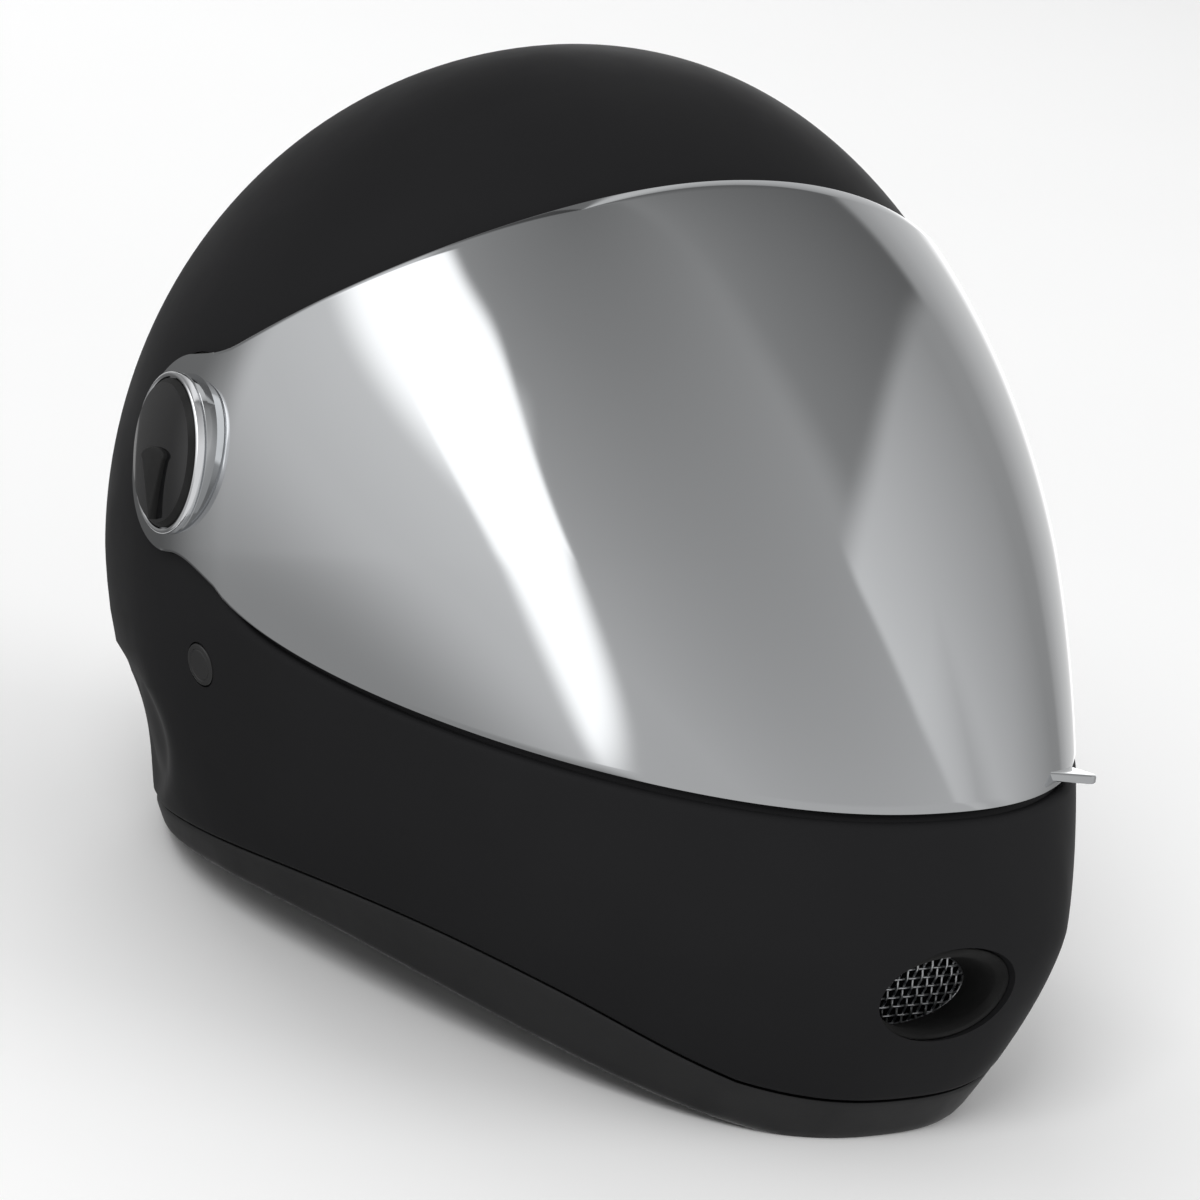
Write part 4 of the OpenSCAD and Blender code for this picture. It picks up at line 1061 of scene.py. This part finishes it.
class HELMET_OT_pads(bpy.types.Operator):
    """Builds the knit-covered pads: cheeks, sides, brow, nape and crown"""
    bl_idname = "helmet.pads"
    bl_label = "Pads"

    def execute(self, context):
        swell = context.scene.helmet_lining.nap

        def groove(a):
            return follow(a, 0, 1)

        for side, word in ((-1, "right"), (1, "left")):
            a1, a2 = sorted((CHEEK_FROM * side, CHEEK_TO * side))
            shape = pillow(a1, a2, lambda a: groove(a) + 4, lambda a: min(port_low(a) - 3, 148),
                           -SHELL_T - 3.6, CHEEK_T - 1, 8, 30, 40)
            pad("cheek_cushion_" + word, "cheek_pad_" + word, shape, swell, ((0.15 * side, 0.035, 0.0016),))
            a1, a2 = sorted((SIDE_FROM * side, SIDE_TO * side))
            shape = pillow(a1, a2, lambda a: SIDE_LOW, lambda a: SIDE_HIGH, LINER_IN - PAD_SEAT, PAD_T - 0.8,
                           3, 26, 40)
            pad("side_cushion_" + word, "side_pad_" + word, shape, swell,
                [(s, 0.03, 0.0016) for s in (-0.33, 0.33)])
        shape = pillow(-BROW_HALF, BROW_HALF, lambda a: port_high(a) + 5, lambda a: port_high(a) + 12,
                       LINER_OUT - LINER_T * 0.5 - 5.5, PAD_T - 2, 3, 90, 10)
        pad("brow_cushion", "brow_pad", shape, swell * 0.5, (), NO_SEAM)
        shape = pillow(NAPE_FROM, NAPE_TO, lambda a: groove(a) + 13, lambda a: groove(a) + 46,
                       LINER_IN - PAD_SEAT / 2, PAD_T + 2.2, 4, 60, 24)
        pad("nape_cushion", "neck_roll", shape, swell, [(s, 0.02, 0.0018) for s in (-0.4, 0.0, 0.4)])
        self.crown(swell)
        return {"FINISHED"}

    @staticmethod
    def crown(swell):
        """Bowl-shaped pad whose inner side is drawn in along six lines from the top."""
        low, out = CROWN_LOW, LINER_IN - PAD_SEAT

        def spot(a, share, inner):
            if not inner:
                return skin(low + (CROWN_Z + out - low) * sin(pi / 2 * share), a, out)
            wave = 0.42 + 0.58 * sqrt(abs(sin_d(3 * a)))
            t = (PAD_T - 0.8) * (wave + (1 - wave) * share ** 2) * (0.5 + 0.5 * ramp(share / 0.12))
            top = CROWN_Z + out - t
            return skin(low + 1 + (top - low - 1) * sin(pi / 2 * share), a, out - t)

        middle, reach = stood((0, CROWN_BACK, 200)), 0.062
        cushion("crown_cushion", domed(144, 22, spot), "crown_pad", swell * 0.6,
                lambda k, co: (co - middle).length < reach)


# Chin strap and buckle

STRAP_PLANE = Matrix.Translation((0, RIVET_Y, RIVET_Z)) @ spun(STRAP_LEAN, "X")
STRAP_A = side_x(RIVET_Y, RIVET_Z, 0) - SHELL_T - 4.4
BUCKLE_AT = -90 + BUCKLE_TURN


def bow_at(t, o):
    """Point of the strap's bow at an angle, some way off the middle of the webbing."""
    nx, ny = STRAP_DROP * cos_d(t), STRAP_A * sin_d(t)
    size = hypot(nx, ny)
    return STRAP_A * cos_d(t) + o * nx / size, STRAP_DROP * sin_d(t) + o * ny / size


def ribbon(t1, t2, steps, hole_side):
    """Webbing with rounded edges along the strap's bow, with its own UV map."""
    half, thin = STRAP_W / 2, STRAP_T / 2
    front = [(1, -half + 0.9), (1, -half / 2), (1, 0), (1, half / 2), (1, half - 0.9), (0.7, half - 0.25)]
    section = [(thin * o, w) for o, w in front + [(0, half)]]
    section += [(-thin * o, w) for o, w in reversed(front)]
    section += [(-thin * 0.7, -half + 0.25), (0, -half), (thin * 0.7, -half + 0.25)]
    count = len(section)
    lengths = [0.0]
    for k in range(steps):
        a, b = bow_at(t1 + (t2 - t1) * k / steps, 0), bow_at(t1 + (t2 - t1) * (k + 1) / steps, 0)
        lengths.append(lengths[-1] + hypot(a[0] - b[0], a[1] - b[1]) * MM)

    bm = bmesh.new()
    bmesh.ops.create_grid(bm, x_segments=steps, y_segments=count, size=0.5)
    along = bm.verts.layers.float.new("along")
    across = bm.verts.layers.float.new("across")
    for v in bm.verts:
        i, j = round((v.co.x + 0.5) * steps), round((v.co.y + 0.5) * count) % count
        o, w = section[j]
        x, y = bow_at(t1 + (t2 - t1) * i / steps, o)
        v[along], v[across] = lengths[i], (w + half) / STRAP_W
        v.co = stood(STRAP_PLANE @ Vector((x, y, w)))
    bmesh.ops.holes_fill(welded(bm, 2e-6), edges=[e for e in bm.edges if e.is_boundary], sides=0)
    outwards(bm)
    uv = bm.loops.layers.uv.new("run")
    for face in bm.faces:
        for loop in face.loops:
            loop[uv].uv = (loop.vert[along], loop.vert[across])
    return cut(bm, [put(drum(2.8, -30, 6, 32), rivet_frame(hole_side))])


def buckle_place():
    """Frame of the buckle: X along the strap, Y off it."""
    n = Vector(bow_at(BUCKLE_AT, 1)) - Vector(bow_at(BUCKLE_AT, 0))
    return (STRAP_PLANE @ Matrix.Translation((*bow_at(BUCKLE_AT, 0), 0))
            @ Matrix.Rotation(atan2(n.y, n.x) + radians(90), 4, "Z"))


class HELMET_OT_strap(bpy.types.Operator):
    """Builds the chin strap, its rivets and the ratchet buckle"""
    bl_idname = "helmet.strap"
    bl_label = "Strap and buckle"

    def execute(self, context):
        weave = made("webbing", webbing, (0.014, 0.014, 0.015))
        mm_turn = 180 / pi / hypot(STRAP_A * sin_d(BUCKLE_AT), STRAP_DROP * cos_d(BUCKLE_AT))
        piece("webbing_left", ribbon(6, BUCKLE_AT + 12 * mm_turn, 120, 1), "shell", weave,
              "strap_left", 50)
        stop = 270 + BUCKLE_TURN - (BUCKLE_L / 2 + 1.8) * mm_turn
        piece("webbing_right", ribbon(174, stop, 150, -1), "shell", weave, "strap_right", 50)
        head = [(0, 0.25), (2.0, 0.27), (3.9, 0.24), (4.15, 0.08), (4.4, 0.24), (5.1, 0.22), (5.45, 0.1),
                (5.6, -0.15), (5.6, -1.2), (2.5, -1.2), (2.5, -16.3), (2.3, -16.5), (0, -16.5)]
        pins = put(turned(head, 64), rivet_frame(1))
        join(pins, put(turned(head, 64), rivet_frame(-1)))
        piece("rivet_pair", pins, "shell", plastic("rivet"), "strap_rivets", 30)
        self.buckle(buckle_place(), STRAP_W / 2 + 0.6)
        return {"FINISHED"}

    @staticmethod
    def buckle(here, half_in):
        """Channel, hinged lever with its grip ribs, and the toothed tongue; half_in is half the inner width."""
        hw = half_in + 2
        channel = raised([(-5.8, -hw), (4, -hw), (4, hw), (-5.8, hw), (-5.8, half_in), (2.2, half_in),
                          (2.2, -half_in), (-5.8, -half_in)], -BUCKLE_L / 2, BUCKLE_L / 2, "X")
        channel = cut(softened(channel, 0.7), [shifted(drum(1.2, -20, 20, 32), HINGE_X, HINGE_Y, 0)])
        piece("buckle_channel", put(channel, here), "shell", plastic("frame"),
              "buckle_frame", 35)
        tip, low, high = 5 - BUCKLE_L / 2, half_in - 0.4, half_in - 0.7
        ribs = [(HINGE_X, -2.0), (HINGE_X, -4.6)]
        ribs += [(tip + 11 - 2.4 * k + o, -4.6 + y) for k in range(4)
                 for o, y in ((0, 0), (-0.5, 0.55), (-1.3, 0.55), (-1.8, 0))]
        ribs += [(tip + 0.6, -4.6), (tip, -4.1), (tip, -2.6), (tip + 0.6, -2.0)]
        lever = cut(softened(raised(ribs, -low, low), 0.25, 2),
                    [shifted(drum(1.25, -20, 20, 32), HINGE_X, HINGE_Y, 0)])
        knuckle = turned([(1.25, -low), (2.0, -low), (2.3, -high), (2.3, high), (2.0, low), (1.25, low),
                          (1.25, -low)], 40)
        join(lever, shifted(knuckle, HINGE_X, HINGE_Y, 0))
        piece("buckle_latch", put(lever, here), "lever", plastic("red"), "buckle_lever", 35)
        x0 = -BUCKLE_L / 2 - 1.5
        x1 = x0 + BUCKLE_L - 6
        teeth = [(x0, -0.7), (x0, 1.7), (x1, 1.7), (x1, -0.7)]
        teeth += [(x1 - 1 - 1.8 * k + o, y) for k in range(11) for o, y in ((0, -0.7), (-0.3, 0.1), (-1.7, -0.7))]
        piece("buckle_rack", put(raised(teeth, -STRAP_W / 2 + 1, STRAP_W / 2 - 1), here), "shell",
              plastic("rack"), "ratchet_tongue", 35)


class HELMET_OT_hardware(bpy.types.Operator):
    """Gives the pivot parts and fasteners that keep their solids a finished material"""
    bl_idname = "helmet.hardware"
    bl_label = "Pivots and fasteners"

    def execute(self, context):
        plain = made("steel", steel, "plain steel", (0.55, 0.55, 0.56))
        for node in ("base_screws", "hub_retainer_left", "hub_retainer_right", "hub_screws", "buckle_pin",
                     "strap_washers"):
            dress(node, plain)
        for side in ("left", "right"):
            dress("pivot_base_" + side, plastic("frame"))
            dress("friction_washer_" + side, plastic("slip"))
            dress("visor_hub_" + side, plastic("hub"))
        return {"FINISHED"}


class HELMET_OT_stage(bpy.types.Operator):
    """Sets the floor, the studio light and the camera"""
    bl_idname = "helmet.stage"
    bl_label = "Stage"

    def execute(self, context):
        s = context.scene.helmet_stage
        bm = bmesh.new()
        bmesh.ops.create_grid(bm, x_segments=8, y_segments=8, size=6.0)
        floor = shown("floor", mesh_of(bm, "floor"))
        paper = Finish("pale floor", tuple(s.floor), 0.8, Specular_IOR_Level=0.1)
        paper.shade(paper.noise(3, 2.0), 0.985, 1.015)
        floor.data.materials.append(paper.material)
        floor.visible_glossy = False
        self.world(context.scene)
        for name, place, height, size, power in LAMPS:
            data = bpy.data.lights.new(name, "AREA")
            data.shape = "RECTANGLE"
            data.size, data.size_y = size
            data.energy = power
            lamp = shown(name, data)
            aim = Vector((0, 0, height)) - Vector(place)
            lamp.matrix_world = Matrix.Translation(place) @ aim.to_track_quat("-Z", "Y").to_matrix().to_4x4()
            lamp.visible_camera = lamp.visible_glossy = False
        # Painted reflections: a glowing sphere seen only in reflections.
        self.painted_reflections()
        lens = bpy.data.cameras.new("camera")
        lens.lens, lens.sensor_width = s.lens, 36
        lens.clip_start, lens.clip_end = 0.05, 50
        camera = shown("camera", lens)
        turn = STAND.to_3x3()
        axes = (CAMERA_RIGHT, CAMERA_BACK.cross(CAMERA_RIGHT), CAMERA_BACK)
        axes = Matrix([(turn @ v).normalized() for v in axes]).transposed()
        camera.matrix_world = Matrix.Translation(stood(CAMERA_AT)) @ axes.to_4x4()
        context.scene.camera = camera
        context.scene.view_settings.view_transform = "Standard"
        return {"FINISHED"}

    @staticmethod
    def world(scene):
        """White to the camera and in reflections, dimmer as the light that falls on things."""
        scene.world = bpy.data.worlds.new("studio")
        scene.world.use_nodes = True
        nodes, link = scene.world.node_tree.nodes, scene.world.node_tree.links.new
        nodes.clear()
        out, mix = nodes.new("ShaderNodeOutputWorld"), nodes.new("ShaderNodeMixShader")
        path = nodes.new("ShaderNodeLightPath")
        seen = path.outputs["Is Camera Ray"]
        for ray in ("Is Glossy Ray", "Is Transmission Ray"):
            either = nodes.new("ShaderNodeMath")
            either.operation = "MAXIMUM"
            link(seen, either.inputs[0])
            link(path.outputs[ray], either.inputs[1])
            seen = either.outputs[0]
        link(seen, mix.inputs["Fac"])
        for k, strength in ((1, AMBIENT), (2, 1.0)):
            sky = nodes.new("ShaderNodeBackground")
            sky.inputs["Color"].default_value, sky.inputs["Strength"].default_value = (1, 1, 1, 1), strength
            link(sky.outputs[0], mix.inputs[k])
        link(mix.outputs[0], out.inputs["Surface"])

    @staticmethod
    def painted_reflections():
        """A glowing sphere seen only in reflections: its brightness paints the reflections of a studio's pale
        walls, a window and grey cards.

        The light of each place is drawn by two angles in degrees: side, from the front towards the
        wearer's left, and up from the floor.
        """
        bm = bmesh.new()
        bmesh.ops.create_uvsphere(bm, u_segments=48, v_segments=24, radius=WALL_R)
        bmesh.ops.reverse_faces(bm, faces=bm.faces)
        walls = shown("painted_reflections", mesh_of(bm, "painted_reflections"))
        f = Finish("painted reflection walls", (1, 1, 1), 1.0)

        def plus(*values):
            return f.math("ADD", *values)

        def less(a, b):
            return f.math("SUBTRACT", a, b)

        def times(*values):
            return f.math("MULTIPLY", *values)

        def most(a, b):
            return f.math("MAXIMUM", a, b)

        def step(value, start, end, low=0.0, high=1.0):
            return f.remap(value, low, high, start, end, "SMOOTHSTEP")

        def even(value, start, end, low, high):
            return f.remap(value, low, high, start, end)

        def power(value, centre, width, exponent, factor):
            q = f.math("ABSOLUTE", f.math("DIVIDE", less(value, centre), width))
            return times(f.math("POWER", q, exponent), factor)

        def blend(a, b, share):
            return plus(times(a, less(1.0, share)), times(b, share))

        x, y, z = f.axis("X"), f.axis("Y"), f.axis("Z")
        side = f.math("DEGREES", f.math("ARCTAN2", x, times(y, -1.0)))
        size = f.math("SQRT", plus(times(x, x), times(y, y), times(z, z)))
        up = f.math("DEGREES", f.math("ARCSINE", f.math("DIVIDE", z, size)))

        # The ceiling, and the left wall below it
        ceiling = plus(even(up, 30, 70, 0.70, 0.385), even(up, 70, 86, 0.0, -0.1))
        left = plus(step(up, -24, 13, 0.42, 0.88), even(up, 13, 30, 0.0, 0.1))
        left = blend(left, ceiling, step(up, 52, 60))
        # The side panel with its slanting top edge, dark above it
        panel = plus(even(side, 50, 96, 0.98, 0.47), even(up, 20, -6, 0.0, -0.12))
        above = blend(ceiling, even(side, 50, 100, 0.42, 0.19), step(side, 50, 62))
        slant = times(f.math("COSINE", f.math("RADIANS", less(side, 35.0))), 1.19)
        under = step(less(f.math("DEGREES", f.math("ARCTANGENT", slant)), up), -1.0, 1.5)
        edge = plus(step(side, 47, 50), even(up, 38, 26, 0.0, -0.6))
        right = blend(above, panel, times(under, most(edge, step(side, 47, 68))))
        # The bright far wall, brightest low down
        far = plus(even(side, 102, 110, 0.46, 0.66), even(side, 110, 122, 0.0, 0.18),
                   times(even(side, 122, 134, 0.0, 1.1), step(up, 24, 12)))
        right = blend(right, most(right, far), step(side, 101, 104))
        level = blend(left, blend(ceiling, right, step(side, 40, 46)), step(side, -61, -54))
        # The window on the left, with a bowed roof and bowed sides
        inside = step(less(less(62.3, power(side, -94.0, 43.0, 4.0, 20.0)), up), -1.5, 2.5)
        limit = less(-51.0, power(up, 38.0, 1.0, 2.0, 0.0124))
        inside = times(inside, most(step(less(limit, side), -3.0, 2.5), step(up, 38, 42)))
        inside = times(inside, step(side, -150, -138), step(up, -2, 8))
        start = less(-64.3, power(up, 0.0, 34.5, 6.0, 15.0))
        inside = times(inside, most(step(less(side, start), -3.0, 3.0), step(up, 30, 41)))
        level = blend(level, 2.05, inside)
        # Behind the helmet it is dim
        level = times(level, step(f.math("ABSOLUTE", side), 140, 158, 1.0, 0.3))
        # The sphere glows with this painted brightness, though no lamp is there: painted reflections.
        glow = f.node("ShaderNodeEmission")
        f.link(level, glow.inputs["Strength"])
        out = next(n for n in f.tree.nodes if n.type == "OUTPUT_MATERIAL")
        f.link(glow.outputs[0], out.inputs["Surface"])
        f.tree.nodes.remove(f.shader)
        walls.data.materials.append(f.material)
        walls.visible_camera = walls.visible_diffuse = walls.visible_shadow = False
        walls.visible_transmission = walls.visible_volume_scatter = False


class HELMET_PT_panel(bpy.types.Panel):
    """Lists the steps and their settings"""
    bl_idname = "HELMET_PT_panel"
    bl_label = "Full-face helmet"
    bl_space_type = "VIEW_3D"
    bl_region_type = "UI"
    bl_category = "Helmet"

    def draw(self, context):
        scene = context.scene
        for settings in (scene.helmet_shell, scene.helmet_visor, scene.helmet_lining, scene.helmet_stage):
            box = self.layout.box()
            for key in settings.__annotations__:
                box.prop(settings, key)
        for step in STEPS:
            self.layout.operator("helmet." + step)


STEPS = ("stage", "shell", "rim", "visor", "knobs", "vent", "liner", "pads", "strap", "hardware")
GROUPS = {
    "helmet_shell": HelmetShellSettings,
    "helmet_visor": HelmetVisorSettings,
    "helmet_lining": HelmetLiningSettings,
    "helmet_stage": HelmetStageSettings,
}
OPERATORS = (
    HELMET_OT_stage, HELMET_OT_shell, HELMET_OT_rim, HELMET_OT_visor, HELMET_OT_knobs, HELMET_OT_vent,
    HELMET_OT_liner, HELMET_OT_pads, HELMET_OT_strap, HELMET_OT_hardware, HELMET_PT_panel,
)


def register():
    for group in GROUPS.values():
        bpy.utils.register_class(group)
    for kind in OPERATORS:
        bpy.utils.register_class(kind)
    for name, group in GROUPS.items():
        setattr(bpy.types.Scene, name, PointerProperty(type=group))


def unregister():
    for name in GROUPS:
        delattr(bpy.types.Scene, name)
    for kind in reversed(OPERATORS + tuple(GROUPS.values())):
        bpy.utils.unregister_class(kind)


def main():
    register()
    for step in STEPS:
        getattr(bpy.ops.helmet, step)()
    bpy.context.view_layer.update()


if __name__ == "__main__":
    main()
